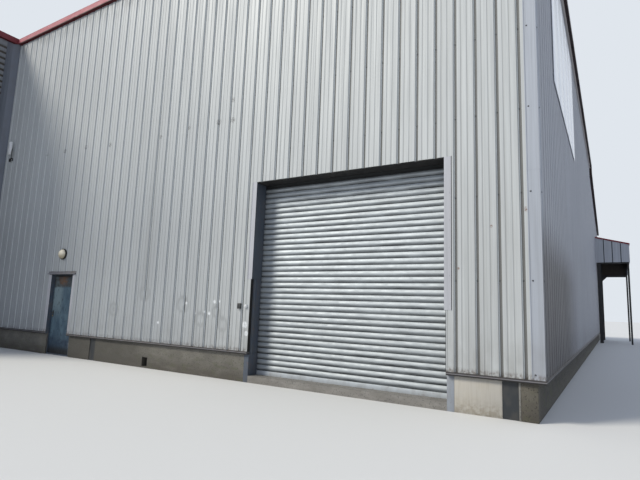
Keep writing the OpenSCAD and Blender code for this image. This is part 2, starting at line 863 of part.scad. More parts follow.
module sign_board() {
    panel_t = 12;
    batten_d = 12;
    batten_h = 60;
    batten_end = 60;
    edge = 150;
    color(sign_white) on_right() {
        bar(sign_from, sign_from + sign_w, -batten_d - panel_t, -batten_d, sign_z, sign_z + sign_h);
        for (z = [edge, (sign_h - batten_h) / 2, sign_h - edge - batten_h])
            bar(sign_from + batten_end, sign_from + sign_w - batten_end, -batten_d, 0,
                sign_z + z, sign_z + z + batten_h);
    }
}

// Draws a section in X and Z of the canopy and runs it along Y from y0 to y1.
module along_canopy(y0, y1) {
    translate([x_right, y_front + y1, 0]) rotate([90, 0, 0]) linear_extrude(y1 - y0) children();
}

// Height of the top of the canopy roof at distance x from the wall.
function canopy_z(x) = canopy_top - x * canopy_slope;

module canopy_roof() {
    inside = canopy_w - canopy_wall;
    color(steel_grey) along_canopy(canopy_from + canopy_wall, canopy_to - canopy_wall) polygon([
        [0, canopy_top], [inside, canopy_z(inside)],
        [inside, canopy_z(inside) - canopy_sheet], [0, canopy_top - canopy_sheet]
    ]);
}

// Outline of one end of the canopy in X and Z.
function canopy_end(base) = [[0, base], [canopy_w, base], [canopy_w, canopy_eave], [0, canopy_top]];

module canopy_cladding() {
    color(shade_grey) {
        along_canopy(canopy_from, canopy_from + canopy_wall) polygon(canopy_end(canopy_base));
        along_canopy(canopy_to - canopy_wall, canopy_to) polygon(canopy_end(canopy_far_base));
        along_canopy(canopy_from + canopy_wall, canopy_to - canopy_wall)
            translate([canopy_w - canopy_wall, canopy_base]) square([canopy_wall, canopy_eave - canopy_base]);
    }
}

module canopy_trim() {
    band = 90;
    lap = 60;
    out = canopy_w + canopy_edge;
    rise = [[0, canopy_top], [out, canopy_z(out)], [out, canopy_z(out) + band], [0, canopy_top + band]];
    color(trim_red) translate([0, 0, seal]) {
        along_canopy(canopy_from - canopy_edge, canopy_from + lap) polygon(rise);
        along_canopy(canopy_to - lap, canopy_to + canopy_edge) polygon(rise);
        along_canopy(canopy_from + lap, canopy_to - lap) polygon([
            [canopy_w - lap, canopy_z(canopy_w - lap)], [out, canopy_z(out)],
            [out, canopy_z(out) + band], [canopy_w - lap, canopy_z(canopy_w - lap) + band]
        ]);
    }
}

// One canopy post, from the ground to the underside of the roof sheet.
module canopy_leg(x, w, y) {
    translate([x_right + x, y_front + y, 0]) cube([w, canopy_post, canopy_z(x + w) - canopy_sheet]);
}

module canopy_posts() {
    color(post_grey) for (y = canopy_post_places) {
        canopy_leg(canopy_post_x, canopy_post, y);
        canopy_leg(canopy_wall_gap, canopy_wall_post, y);
    }
}

// Beams between the posts under both ends, the far one with a brace.
module canopy_beams() {
    beam_x = canopy_wall_gap + canopy_wall_post;
    brace = 280;
    far_z = canopy_far_base - far_beam_h;
    near = canopy_post_places[0];
    far = canopy_post_places[1];
    color(post_grey) {
        along_canopy(near, near + canopy_post)
            translate([beam_x, canopy_base - near_beam_h]) square([canopy_post_x - beam_x, near_beam_h]);
        along_canopy(far, far + canopy_post) polygon([
            [beam_x, far_z - brace], [beam_x + brace, far_z], [canopy_post_x, far_z],
            [canopy_post_x, canopy_far_base], [beam_x, canopy_far_base]
        ]);
    }
}

floor_slab();
wing_floor();
front_plinth();
corner_plinth();
side_plinths();
rear_plinth();
wing_plinth();
front_posts();
hall_columns();
rafters();
front_rails();
side_rails();
front_wall_left();
front_wall_middle();
front_wall_right();
front_wall_over_openings();
right_wall();
rear_wall();
left_wall();
wing_inner_wall();
wing_front_wall();
main_roof();
wing_roof();
rear_roof();
roof_step();
front_trim();
side_trims();
rear_trims();
wing_trim();
corner_flashings();
drip_flashing();
shutter_curtain();
shutter_bottom_bar();
shutter_guides();
shutter_housing();
jamb_posts();
jamb_flashing();
door_frame();
door_leaf();
door_handle();
door_hood();
hinge_pins();
leaf_knuckles();
lamp_base();
lamp_glass();
floodlight();
sign_board();
canopy_roof();
canopy_cladding();
canopy_trim();
canopy_posts();
canopy_beams();
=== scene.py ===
"""Skins, doors, trims, fittings and finishes of a steel clad factory hall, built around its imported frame.

Lengths are metres. Each wall has its own coordinates: u runs along it, v runs inwards from its
cladding and z is height above the ground.
"""
import math
import random

import bmesh
import bpy
from mathutils import Matrix, Vector, noise


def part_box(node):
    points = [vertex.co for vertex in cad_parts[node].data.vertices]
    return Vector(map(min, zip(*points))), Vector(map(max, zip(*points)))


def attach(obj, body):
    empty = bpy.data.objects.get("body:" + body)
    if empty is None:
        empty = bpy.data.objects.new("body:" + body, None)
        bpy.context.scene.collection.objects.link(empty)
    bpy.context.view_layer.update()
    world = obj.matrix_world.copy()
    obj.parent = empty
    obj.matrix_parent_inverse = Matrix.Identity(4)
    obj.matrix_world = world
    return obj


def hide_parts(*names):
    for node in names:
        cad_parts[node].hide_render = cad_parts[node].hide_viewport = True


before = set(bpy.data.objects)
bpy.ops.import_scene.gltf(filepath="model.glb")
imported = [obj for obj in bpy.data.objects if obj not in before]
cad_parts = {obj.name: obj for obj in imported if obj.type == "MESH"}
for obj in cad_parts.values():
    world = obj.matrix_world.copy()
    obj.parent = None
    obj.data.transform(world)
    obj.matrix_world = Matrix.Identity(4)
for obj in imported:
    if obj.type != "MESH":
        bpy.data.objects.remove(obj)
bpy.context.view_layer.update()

bl_info = {
    "name": "Factory hall dressing",
    "version": (1, 0, 0),
    "blender": (4, 5, 0),
    "location": "3D View > Sidebar > Factory hall",
    "description": "Adds skins, doors, trims, fittings and finishes to the frame of a factory hall",
    "category": "Object",
}

# Axes of the frame, and the sockets of a Mix node that mixes colours.
X, Y, Z = 0, 1, 2
MIX_SHARE, MIX_UNDER, MIX_OVER, MIX_RESULT = 0, 6, 7, 2

# Places that the frame gives: the faces of the cladding.
X_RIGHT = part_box("right_wall")[1].x
X_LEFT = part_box("left_wall")[0].x
X_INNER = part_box("wing_inner_wall")[1].x
Y_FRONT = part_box("front_wall_right")[0].y
Y_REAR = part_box("rear_wall")[1].y
Y_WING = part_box("wing_front_wall")[0].y


def wall_frame(x, y, along, inwards):
    """Matrix that turns u, v and z of a wall into the frame's X, Y and Z."""
    return Matrix(((along[0], inwards[0], 0, x), (along[1], inwards[1], 0, y), (0, 0, 1, 0), (0, 0, 0, 1)))


FRONT = wall_frame(X_RIGHT, Y_FRONT, (-1, 0), (0, 1))
RIGHT = wall_frame(X_RIGHT, Y_FRONT, (0, 1), (-1, 0))
REAR = wall_frame(X_RIGHT, Y_REAR, (-1, 0), (0, -1))
LEFT = wall_frame(X_LEFT, Y_REAR, (0, -1), (1, 0))
INNER = wall_frame(X_INNER, Y_FRONT, (0, -1), (-1, 0))
WING = wall_frame(X_INNER, Y_WING, (-1, 0), (0, 1))
# Turn for an outline in v and z that runs along u, and for one in u and z that runs out along -v.
ALONG = Matrix(((0, 0, 1, 0), (1, 0, 0, 0), (0, 1, 0, 0), (0, 0, 0, 1)))
OUTWARDS = Matrix(((1, 0, 0, 0), (0, 0, -1, 0), (0, 1, 0, 0), (0, 0, 0, 1)))


def span(node, wall):
    """Lowest and highest u, v and z of a CAD node in the coordinates of a wall."""
    back = wall.inverted()
    ends = [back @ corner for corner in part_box(node)]
    return [tuple(sorted((ends[0][i], ends[1][i]))) for i in range(3)]


HALL_DEPTH = Y_REAR - Y_FRONT
WING_DEPTH = Y_FRONT - Y_WING
FRONT_WIDTH = X_RIGHT - X_INNER
WING_WIDTH = X_INNER - X_LEFT
TOTAL_WIDTH = X_RIGHT - X_LEFT
WALL_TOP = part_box("front_wall_left")[1].z
WALL_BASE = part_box("front_wall_left")[0].z
REAR_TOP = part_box("rear_wall")[1].z
WALL_BACK = span("front_wall_left", FRONT)[1][1]
SHUTTER = (span("front_wall_right", FRONT)[0][1], span("front_wall_middle", FRONT)[0][0])
SHUTTER_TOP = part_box("jamb_posts")[1].z
DOOR, _, DOOR_HEIGHT = span("door_frame", FRONT)
LEVEL_DEPTH = span("main_roof", RIGHT)[0][1] + WALL_BACK
FALL_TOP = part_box("rear_roof")[1].z
FALL_SLOPE = (FALL_TOP - REAR_TOP) / (HALL_DEPTH - LEVEL_DEPTH)
FIRST_GROOVE = 0.261
SMALL_SCREW = 0.009
HAIR = 0.0001


def linear(code):
    """Linear colour of an sRGB hex value."""
    parts = [int(code[i:i + 2], 16) / 255 for i in (0, 2, 4)]
    return tuple(p / 12.92 if p <= 0.04045 else ((p + 0.055) / 1.055) ** 2.4 for p in parts)


def size_of(name, about, value):
    """Property that holds a length in metres."""
    return bpy.props.FloatProperty(
        name=name, description=about, default=value, min=0, unit="LENGTH", precision=4)


def colour_of(name, about, code):
    """Property that holds a colour."""
    return bpy.props.FloatVectorProperty(
        name=name, description=about, default=linear(code), size=3, min=0, max=1, subtype="COLOR")


class HallSizes(bpy.types.PropertyGroup):
    """Sizes of the cladding and its fixings."""
    groove_pitch: size_of("Groove pitch", "Spacing of the grooves in a wall sheet", 0.3333)
    groove_start: size_of("First groove", "Distance from a corner to the first groove", FIRST_GROOVE)
    groove_mouth: size_of("Groove mouth", "Width of a groove at the face of the sheet", 0.066)
    groove_bed: size_of("Groove bed", "Width of a groove at its bed", 0.04)
    groove_lean: size_of("Groove lean", "Distance that a groove's steep side lies in from its mouth", 0.004)
    groove_deep: size_of("Groove depth", "Depth of a groove", 0.036)
    bead_first: size_of("First bead", "Distance from a groove to the first stiffening bead", 0.13)
    bead_second: size_of("Second bead", "Distance from a groove to the second stiffening bead", 0.232)
    bead_w: size_of("Bead width", "Width of a stiffening bead", 0.022)
    bead_deep: size_of("Bead depth", "Depth of a stiffening bead", 0.004)
    rib_pitch: size_of("Wing rib pitch", "Spacing of the level ribs on the wing", 0.2)
    rib_deep: size_of("Wing rib depth", "Depth of the channels between the level ribs", 0.025)
    sheet_w: size_of("Sheet width", "Width that one wall sheet covers", 1.0)
    rail_base: size_of("First screw row", "Height of the lowest row of screws", 0.67)
    rail_pitch: size_of("Screw row pitch", "Height from one row of screws to the next", 1.34)
    screw_r: size_of("Screw washer", "Radius of a washer, larger than the real 9 mm so that it shows", 0.015)
    trim_length: size_of("Trim length", "Length of one folded trim or flashing", 3.0)
    slat_pitch: size_of("Slat pitch", "Height of one slat of the roller shutter", 0.1109)


class HallColours(bpy.types.PropertyGroup):
    """Colours of the finishes."""
    front: colour_of("Front sheet", "Coil coating of the main front", "c3c7c7")
    # The side sheet is the front's coating made darker as painted shade.
    side: colour_of("Side sheet", "Coil coating of the other hall walls", "9ca0a9")
    wing: colour_of("Wing sheet", "Coil coating of the wing", "7a7e83")
    roof: colour_of("Roof sheet", "Weathered coating of the roofs", "8b8f93")
    trim: colour_of("Trim", "Faded red coating of the trim of the front", "ae636b")
    # The shaded trim colour is a less faded red, darkened in part as painted shade.
    shade_trim: colour_of("Shaded trim", "Red coating of the other trims, less faded", "6e1f29")
    flashing: colour_of("Flashing", "Blue grey coating of the folded flashings", "aeb4bd")
    cover: colour_of("Cover strip", "Coil coating of the strips beside the openings", "bdbfc5")
    post: colour_of("Shutter post", "Dark blue grey paint of the left post at the shutter", "4a525d")
    zinc: colour_of("Zinc", "Galvanised slats", "b6bdc1")
    door: colour_of("Door", "Faded teal blue paint of the door leaf", "3a4f5f")
    dark_steel: colour_of("Dark steel", "Grey primer of the steel frame", "3f4650")
    concrete: colour_of("Concrete", "Weathered concrete of the plinth", "7c7971")
    cream: colour_of("Cream panel", "Cream sheet beside the shutter", "afaba2")
    sign: colour_of("Sign board", "White coated sheet", "e9eef6")
    dirt: colour_of("Dirt", "Grey brown dust and grime", "6b655b")
    rust: colour_of("Rust", "Iron rust", "6e4630")


class HallStage(bpy.types.PropertyGroup):
    """Light, floor and camera."""
    sky: bpy.props.FloatProperty(
        name="Sky light", description="Strength of the even light from all sides", default=0.66, min=0)
    sun: bpy.props.FloatProperty(
        name="Key light", description="Strength of the soft light from the front left", default=2.7, min=0)
    sun_size: bpy.props.FloatProperty(
        name="Key light size", description="Angle that the soft light fills", default=math.radians(17),
        subtype="ANGLE")
    sun_run: bpy.props.FloatVectorProperty(
        name="Key light direction", description="Way that the soft light travels", default=(0.9, 1.0, -1.15),
        size=3, subtype="XYZ")
    sky_colour: colour_of("Sky colour", "Tint of the even light", "dbe7ff")
    sun_colour: colour_of("Key light colour", "Tint of the soft light", "fff9ed")
    backdrop: colour_of("Backdrop", "Pale background", "e0e6ed")
    floor: colour_of("Floor", "Pale floor", "d6d6d3")
    eye: bpy.props.FloatVectorProperty(
        name="Camera place", description="Place of the camera", default=(11.419, -24.6, 1.49), size=3,
        subtype="TRANSLATION", unit="LENGTH")
    turn: bpy.props.FloatVectorProperty(
        name="Camera turn", description="Rotation of the camera about X, Y and Z",
        default=[math.radians(a) for a in (98.170286, -2.077552, 31.196366)], size=3,
        subtype="EULER", unit="ROTATION")
    lens: bpy.props.FloatProperty(
        name="Focal length", description="Focal length of the camera for a sensor 36 mm wide", default=27.0,
        min=1, unit="CAMERA")


# Mesh helpers


def prism(bm, outline, start, end, matrix, rise=0.0):
    """Closed outline run from start to end along the third axis of a matrix, its far end raised by rise."""
    near = [bm.verts.new(matrix @ Vector((a, b, start))) for a, b in outline]
    made = bmesh.ops.extrude_face_region(bm, geom=[bm.faces.new(near)])
    far = [v for v in made["geom"] if isinstance(v, bmesh.types.BMVert)]
    step = matrix.to_3x3() @ Vector((0, 0, end - start)) + Vector((0, 0, rise))
    bmesh.ops.translate(bm, vec=step, verts=far)
    return near + far


def folded(bm, wall, outline, u0, u1, rise=0.0):
    """Closed outline in v and z run along a wall, as a folded sheet lies."""
    prism(bm, outline, u0, u1, wall @ ALONG, rise)


def cuboid(bm, wall, u, v, z, bevel=0.0, segments=2):
    """Block between pairs of u, v and z on a wall, with its edges rounded."""
    size = [abs(pair[1] - pair[0]) for pair in (u, v, z)]
    middle = [(pair[0] + pair[1]) / 2 for pair in (u, v, z)]
    matrix = wall @ Matrix.Translation(middle) @ Matrix.Diagonal((*size, 1))
    verts = bmesh.ops.create_cube(bm, size=1, matrix=matrix)["verts"]
    if bevel:
        edges = list({e for vert in verts for e in vert.link_edges})
        bmesh.ops.bevel(bm, geom=edges, offset=bevel, segments=segments, profile=0.5, affect="EDGES",
                        material=-1)
    return verts


def turned(bm, wall, u, z, profile, steps=32):
    """Profile of radius and outward reach spun round an axis that stands square on a wall."""
    verts = [bm.verts.new(wall @ Vector((u + r, -out, z))) for r, out in profile]
    edges = [bm.edges.new(pair) for pair in zip(verts, verts[1:])]
    bmesh.ops.spin(bm, geom=verts + edges, cent=wall @ Vector((u, 0, z)),
                   axis=wall.to_3x3() @ Vector((0, 1, 0)), angle=math.tau, steps=steps, use_merge=True)
    bmesh.ops.remove_doubles(bm, verts=bm.verts, dist=HAIR)


def cut_levels(bm, heights):
    """Adds a ring of edges at each height."""
    for z in heights:
        bmesh.ops.bisect_plane(bm, geom=bm.verts[:] + bm.edges[:] + bm.faces[:], dist=HAIR,
                               plane_co=(0, 0, z), plane_no=(0, 0, 1))


def finish(bm, name, material, hides=(), body="building", smooth=30):
    """Turns a bmesh into a piece that rides on a body, and hides the CAD nodes that it stands for."""
    bmesh.ops.recalc_face_normals(bm, faces=bm.faces)
    mesh = bpy.data.meshes.new(name)
    bm.to_mesh(mesh)
    bm.free()
    mesh.materials.append(material)
    mesh.shade_smooth()
    mesh.set_sharp_from_angle(angle=math.radians(smooth))
    piece = bpy.data.objects.new(name, mesh)
    bpy.context.scene.collection.objects.link(piece)
    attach(piece, body)
    if hides:
        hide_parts(*hides)
    return piece


def recoat(material, *names):
    """Gives CAD nodes that stay in view their finish."""
    for name in names:
        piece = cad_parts[name]
        if not piece.material_slots:
            piece.data.materials.append(material)
        for place in piece.material_slots:
            place.material = material


def lengths(start, end, length, lap=0.05):
    """Start, end and number of the equal pieces, lapped over each other, that cover a distance."""
    count = max(1, round((end - start) / length))
    step = (end - start) / count
    return [(start + k * step - (lap if k else 0), start + (k + 1) * step, k) for k in range(count)]


# Material helpers


def add(tree, kind, inputs=None, **settings):
    """Adds a node with its settings, and sets or links its inputs."""
    made = tree.nodes.new(kind)
    for key, value in settings.items():
        setattr(made, key, value)
    for key, value in (inputs or {}).items():
        if isinstance(value, bpy.types.NodeSocket):
            tree.links.new(value, made.inputs[key])
        else:
            made.inputs[key].default_value = value
    return made


def blank(name):
    """New material and its empty node tree."""
    made = bpy.data.materials.new(name)
    made.use_nodes = True
    made.node_tree.nodes.clear()
    return made, made.node_tree


def between(tree, share, low, high):
    """Number that goes from low to high with a share."""
    return add(tree, "ShaderNodeMapRange", {"Value": share, "To Min": low, "To Max": high}).outputs[0]


def cloud(tree, grain, low=0.4, high=0.6, detail=3, seed=0):
    """Share from 0 to 1 in patches of a size given in metres along X, Y and Z."""
    place = add(tree, "ShaderNodeTexCoord").outputs["Object"]
    scaled = add(tree, "ShaderNodeMapping", {"Vector": place, "Location": (seed, 3 * seed, 7 * seed),
                                             "Scale": [1 / g for g in grain]})
    pattern = add(tree, "ShaderNodeTexNoise", {"Vector": scaled.outputs[0], "Scale": 1, "Detail": detail})
    return add(tree, "ShaderNodeMapRange", {"Value": pattern.outputs[0], "From Min": low,
                                            "From Max": high}).outputs[0]


def reach(tree, axis, start, end):
    """Share that goes smoothly from 0 at start to 1 at end along an axis."""
    place = add(tree, "ShaderNodeSeparateXYZ", {0: add(tree, "ShaderNodeTexCoord").outputs["Object"]})
    return add(tree, "ShaderNodeMapRange", {"Value": place.outputs[axis], "From Min": start,
                                            "From Max": end}, interpolation_type="SMOOTHSTEP").outputs[0]


def spot(tree, centre, radius, soft=0.4):
    """Share that is 1 inside a ball round a point and fades to 0 at its edge."""
    place = add(tree, "ShaderNodeTexCoord").outputs["Object"]
    away = add(tree, "ShaderNodeVectorMath", {0: place, 1: centre}, operation="DISTANCE")
    return add(tree, "ShaderNodeMapRange", {"Value": away.outputs["Value"], "From Min": radius,
                                            "From Max": radius * (1 - soft)}).outputs[0]


def together(tree, *shares):
    """Product of shares, sockets or numbers."""
    result = shares[0]
    for share in shares[1:]:
        result = add(tree, "ShaderNodeMath", {0: result, 1: share}, operation="MULTIPLY").outputs[0]
    return result


def either(tree, *shares):
    """Largest of several shares."""
    result = shares[0]
    for share in shares[1:]:
        result = add(tree, "ShaderNodeMath", {0: result, 1: share}, operation="MAXIMUM").outputs[0]
    return result


def coats(tree, base, *layers):
    """Base colour with layers laid over it in turn, each a share, a strength and a colour."""
    result = base if isinstance(base, bpy.types.NodeSocket) else (*base, 1)
    for share, strength, colour in layers:
        inputs = {MIX_SHARE: together(tree, share, strength), MIX_UNDER: result, MIX_OVER: (*colour, 1)}
        result = add(tree, "ShaderNodeMix", inputs, data_type="RGBA").outputs[MIX_RESULT]
    return result


def surface(tree, colour, roughness, metallic=0.0, relief=None, height=0.002, gloss=0.0):
    """Principled surface with an optional relief of a height in metres and an optional clear top coat."""
    inputs = {"Base Color": colour if isinstance(colour, bpy.types.NodeSocket) else (*colour, 1),
              "Roughness": roughness, "Metallic": metallic, "Coat Weight": gloss, "Coat Roughness": 0.2}
    if relief is not None:
        inputs["Normal"] = add(tree, "ShaderNodeBump", {"Height": relief, "Distance": height}).outputs[0]
    made = add(tree, "ShaderNodeBsdfPrincipled", inputs)
    add(tree, "ShaderNodeOutputMaterial", {"Surface": made.outputs[0]})


def toned(colour, share):
    """Colour scaled by a share."""
    return tuple(c * share for c in colour)


def recess(tree, faces, start, end):
    """Share that goes from 0 at one depth to 1 at another, behind every one of several faces."""
    return together(tree, *[reach(tree, axis, place - way * start, place - way * end)
                            for axis, place, way in faces])


def sheet_tone(tree, width):
    """Share that differs from one wall sheet to the next, and changes in a groove."""
    place = add(tree, "ShaderNodeTexCoord").outputs["Object"]
    start = (X_RIGHT - FIRST_GROOVE, Y_FRONT + FIRST_GROOVE, 0)
    moved = add(tree, "ShaderNodeVectorMath", {0: place, 1: start}, operation="SUBTRACT").outputs[0]
    scaled = add(tree, "ShaderNodeVectorMath", {0: moved, 1: (1 / width, 1 / width, 0)}, operation="MULTIPLY")
    number = add(tree, "ShaderNodeVectorMath", {0: scaled.outputs[0]}, operation="FLOOR").outputs[0]
    return add(tree, "ShaderNodeTexWhiteNoise", {"Vector": number}, noise_dimensions="2D").outputs[0]


# Finishes of the cladding

# Faces that the grooves and channels of the cladding lie behind: axis, place and way out.
HALL_FACES = ((X, X_RIGHT, 1), (X, X_LEFT, -1), (Y, Y_REAR, 1), (Y, Y_FRONT, -1))
WING_FACES = ((X, X_INNER, 1), (Y, Y_WING, -1))


def groove_layers(tree, colour, colours, faces, deep, grime_and_shade):
    """Layers of a grooved sheet: painted shade at bead edges, a painted highlight on groove sides, grime and
    painted shade in beds.
    """
    near_face = between(tree, recess(tree, faces, 0.005, 0.01), 1, 0)
    above_bed = between(tree, recess(tree, faces, deep - 0.006, deep - 0.003), 1, 0)
    # Painted shade in the bead notches, a painted highlight on the groove sides, and grime darkened further
    # as painted shade in the beds.
    return [(together(tree, recess(tree, faces, 0.001, 0.004), near_face), 0.45, toned(colour, 0.4)),
            (together(tree, recess(tree, faces, 0.0165, 0.0185), above_bed), 0.8, toned(colour, 1.4)),
            (recess(tree, faces, deep - 0.006, deep - 0.001), grime_and_shade, toned(colours.dirt, 0.3))]


def top_layers(tree, colour, top_band, far_shade):
    """Layers of a ragged darker band under the roof trim, and of painted shade further along the wall, weak
    at the top.
    """
    ragged = cloud(tree, (0.07, 0.07, 0.5), 0.4, 0.62, detail=4, seed=15)
    darkened = together(tree, reach(tree, Z, WALL_TOP - 0.75, WALL_TOP - 0.05), ragged)
    # Painted shade: the wall darker and bluer further along, and more so lower down.
    along = reach(tree, X, X_RIGHT - 4.5, X_RIGHT - 8.5)
    film = between(tree, reach(tree, Z, 6.5, 2.5), 0.17, 0.46)
    return [(darkened, top_band, toned(colour, 0.25)), (along, film, far_shade)]


def corner_shade_layers(tree, strength):
    """Layer of painted shade: a dark patch low on the right wall, beside its front corner."""
    # Painted shade: a dark patch low on the right wall near its front corner.
    patch = together(tree, reach(tree, X, X_RIGHT - WALL_BACK, X_RIGHT - WALL_BACK / 2),
                     reach(tree, Y, Y_FRONT - 0.001, Y_FRONT + 0.001),
                     reach(tree, Y, Y_FRONT + 9, Y_FRONT + 3), reach(tree, Z, 3.25, 2.15))
    return [(patch, strength, linear("332f2f"))]


def mark_layers(tree, marks):
    """Layers of marks, each with its colour, strength, raggedness, and places with their radius."""
    edge = cloud(tree, (0.02, 0.02, 0.03), 0.45, 0.55, detail=3, seed=7)
    layers = []
    for shade, strength, ragged, places in marks:
        shares = either(tree, *[spot(tree, place, radius) for place, radius in places])
        layers.append((together(tree, shares, either(tree, edge, 1 - ragged)), strength, shade))
    return layers


def coated_sheet(name, colour, colours, width, grooves=None, top=None, corner_shade=0.0, marks=()):
    """Coil coated steel: an even satin film, a little different on each sheet, with rain streaks and dust.

    The eye gets soft wide highlights, upright streaks, a dustier foot and a rusty lower edge. Walls also have
    grime and painted shade in their grooves with a painted highlight on their sides, a darker band under the
    trim, painted shade further along the wall and low at the corner, and the front has marks. The finest
    streaks are drawn coarser than real ones, so that they show.
    """
    made, tree = blank(name)
    streaks = cloud(tree, (0.045, 0.045, 2.2), 0.42, 0.7, detail=4)
    fine = cloud(tree, (0.014, 0.014, 0.9), 0.42, 0.7, detail=2, seed=4)
    dusty = cloud(tree, (0.25, 0.25, 0.4), 0.3, 0.7)
    hazy = cloud(tree, (0.5, 0.5, 1.5), 0.2, 0.7, seed=11)
    ragged = cloud(tree, (0.03, 0.03, 0.05), 0.38, 0.6, detail=4, seed=21)
    layers = [(sheet_tone(tree, width), 0.22, toned(colour, 0.72)),
              (sheet_tone(tree, width / 3), 0.2, toned(colour, 0.7)),
              (streaks, 0.36, toned(colour, 0.62)),
              (fine, 0.24, toned(colour, 0.55)),
              (together(tree, reach(tree, Z, 4.6, 2.4), hazy), 0.16, colours.dirt),
              (together(tree, reach(tree, Z, WALL_BASE + 0.9, WALL_BASE), dusty), 0.35, colours.dirt),
              (together(tree, reach(tree, Z, WALL_BASE + 0.1, WALL_BASE + 0.02), ragged), 0.7,
               linear("57493f"))]
    if top:
        layers += top_layers(tree, colour, *top)
    if grooves:
        layers += groove_layers(tree, colour, colours, *grooves)
    if corner_shade:
        layers += corner_shade_layers(tree, corner_shade)
    if marks:
        layers += mark_layers(tree, marks)
    waves = cloud(tree, (0.35, 0.35, 1.4), 0.2, 0.8, detail=1, seed=2)
    surface(tree, coats(tree, colour, *layers), between(tree, streaks, 0.5, 0.65), 0.04, waves, 0.004)
    return made


def paint(name, colour, colours, rough=0.5, dirt=0.3, rust=0.0, grain=0.15):
    """Painted or coated steel parts: a plain film with dust in patches and rust where it is worn."""
    made, tree = blank(name)
    dust = cloud(tree, (grain, grain, grain * 2), 0.42, 0.72, detail=4)
    worn = cloud(tree, (grain * 0.4, grain * 0.4, grain * 0.6), 0.6, 0.68, detail=4, seed=5)
    film = coats(tree, colour, (dust, dirt, colours.dirt), (worn, rust, colours.rust))
    surface(tree, film, between(tree, dust, rough, min(1, rough + 0.2)), 0.0, worn, 0.0006)
    return made


# Wall skins


def face_points(s, u0, u1):
    """Points in u and v along the face of a wall, with its grooves and stiffening beads."""
    steep = -s.groove_mouth / 2
    bed = steep + s.groove_lean
    groove = [(steep, 0), (bed, s.groove_deep), (bed + s.groove_bed, s.groove_deep), (s.groove_mouth / 2, 0)]
    bead = [(-s.bead_w / 2, 0), (-s.bead_w / 4, s.bead_deep), (s.bead_w / 4, s.bead_deep), (s.bead_w / 2, 0)]
    points = [(u0, 0)]
    for k in range(math.ceil((u1 - s.groove_start) / s.groove_pitch) + 1):
        middle = s.groove_start + k * s.groove_pitch
        for offset, shape in ((0, groove), (s.bead_first, bead), (s.bead_second, bead)):
            placed = [(middle + offset + a, b) for a, b in shape]
            if placed[0][0] > u0 + HAIR and placed[-1][0] < u1 - HAIR:
                points += placed
    return points + [(u1, 0)]


def wall_skin(bm, s, wall, u0, u1, z0, z1, back=WALL_BACK):
    """Clad wall of real thickness between two distances and two heights."""
    prism(bm, face_points(s, u0, u1) + [(u1, back), (u0, back)], z0, z1, wall)


def screw(bm, wall, u, v, z, radius):
    """Head and washer of one screw, drawn with six sides."""
    tall = radius * 0.6
    place = wall @ Matrix.Translation((u, v - tall / 2, z)) @ Matrix.Rotation(math.radians(90), 4, "X")
    bmesh.ops.create_cone(bm, cap_ends=True, segments=6, radius1=radius, radius2=radius * 0.5, depth=tall,
                          matrix=place)


def wall_screws(bm, s, wall, u0, u1, z0, z1, top=None):
    """Rows of screws in the grooves of a wall, one row on each rail behind it."""
    in_bed = 0.006
    bare_foot = 0.3
    bare_top = 0.1
    for row in range(math.ceil((WALL_TOP - s.rail_base) / s.rail_pitch)):
        z = s.rail_base + row * s.rail_pitch
        for k in range(math.ceil((u1 - s.groove_start) / s.groove_pitch) + 1):
            u = s.groove_start + k * s.groove_pitch
            inside = u0 < u - s.groove_mouth / 2 and u + s.groove_mouth / 2 < u1
            if inside and z0 + bare_foot < z < min(z1, (top(u) if top else z1) - bare_top):
                screw(bm, wall, u + in_bed, s.groove_deep, z, s.screw_r)


def dent(bm, wall, u, z, radius, depth):
    """Pushes the face of a wall in round a point."""
    back = wall.inverted()
    inwards = wall.to_3x3() @ Vector((0, 1, 0))
    for vert in bm.verts:
        place = back @ vert.co
        if place.y < WALL_BACK / 2:
            away = math.hypot(place.x - u, place.z - z) / radius
            vert.co += inwards * depth * math.exp(-away * away)


# Dents of the front: distance from the corner, height, radius and depth.
DENTS = ((7.3, 1.48, 0.14, 0.016), (6.74, 1.18, 0.12, 0.014), (6.3, 1.35, 0.1, 0.012),
         (6.1, 1.1, 0.12, 0.012), (8.6, 1.7, 0.16, 0.010), (9.7, 1.3, 0.14, 0.012))
# Heights of the rings of edges that the dents bend.
DENT_RINGS = [0.9 + 0.08 * k for k in range(13)]


def front_marks(colours):
    """Rust spots, worn holes, bare spots partly painted as highlight, and scuffs of the front, for
    mark_layers.
    """
    rust = ((0.2, 3.08, 0.05), (0.71, 2.85, 0.03), (1.22, 2.2, 0.03), (5.36, 1.02, 0.05))
    holes = ((8.5, 5.54, 0.06), (7.54, 5.61, 0.06), (6.59, 5.59, 0.09), (6.17, 5.56, 0.08),
             (6.21, 6.03, 0.07), (11.6, 5.74, 0.08), (12.62, 5.77, 0.08), (10.51, 5.64, 0.08),
             (13.56, 5.78, 0.07))
    # Bare metal at the dents, whitened as a painted highlight on the bent groove edges.
    bare_and_highlight = ((6.36, 1.56, 0.045), (6.23, 1.57, 0.045), (6.62, 1.34, 0.035), (6.49, 1.31, 0.045),
            (7.2, 1.51, 0.04), (8.25, 1.26, 0.035), (6.9, 1.3, 0.03), (5.5, 1.12, 0.08),
            (5.45, 0.95, 0.06), (8.05, 1.05, 0.04))
    scuff = ((6.3, 1.47, 0.06), (6.55, 1.25, 0.06), (7.3, 1.42, 0.05), (9.7, 1.3, 0.08))
    groups = ((colours.rust, 0.7, 0.8, rust), (linear("3f3d3b"), 0.7, 0.9, holes),
              (linear("eef1f3"), 0.8, 0.5, bare_and_highlight), (toned(colours.front, 0.3), 0.4, 0.6, scuff))
    return [(shade, strength, ragged, [(FRONT @ Vector((u, 0, z)), radius) for u, z, radius in places])
            for shade, strength, ragged, places in groups]


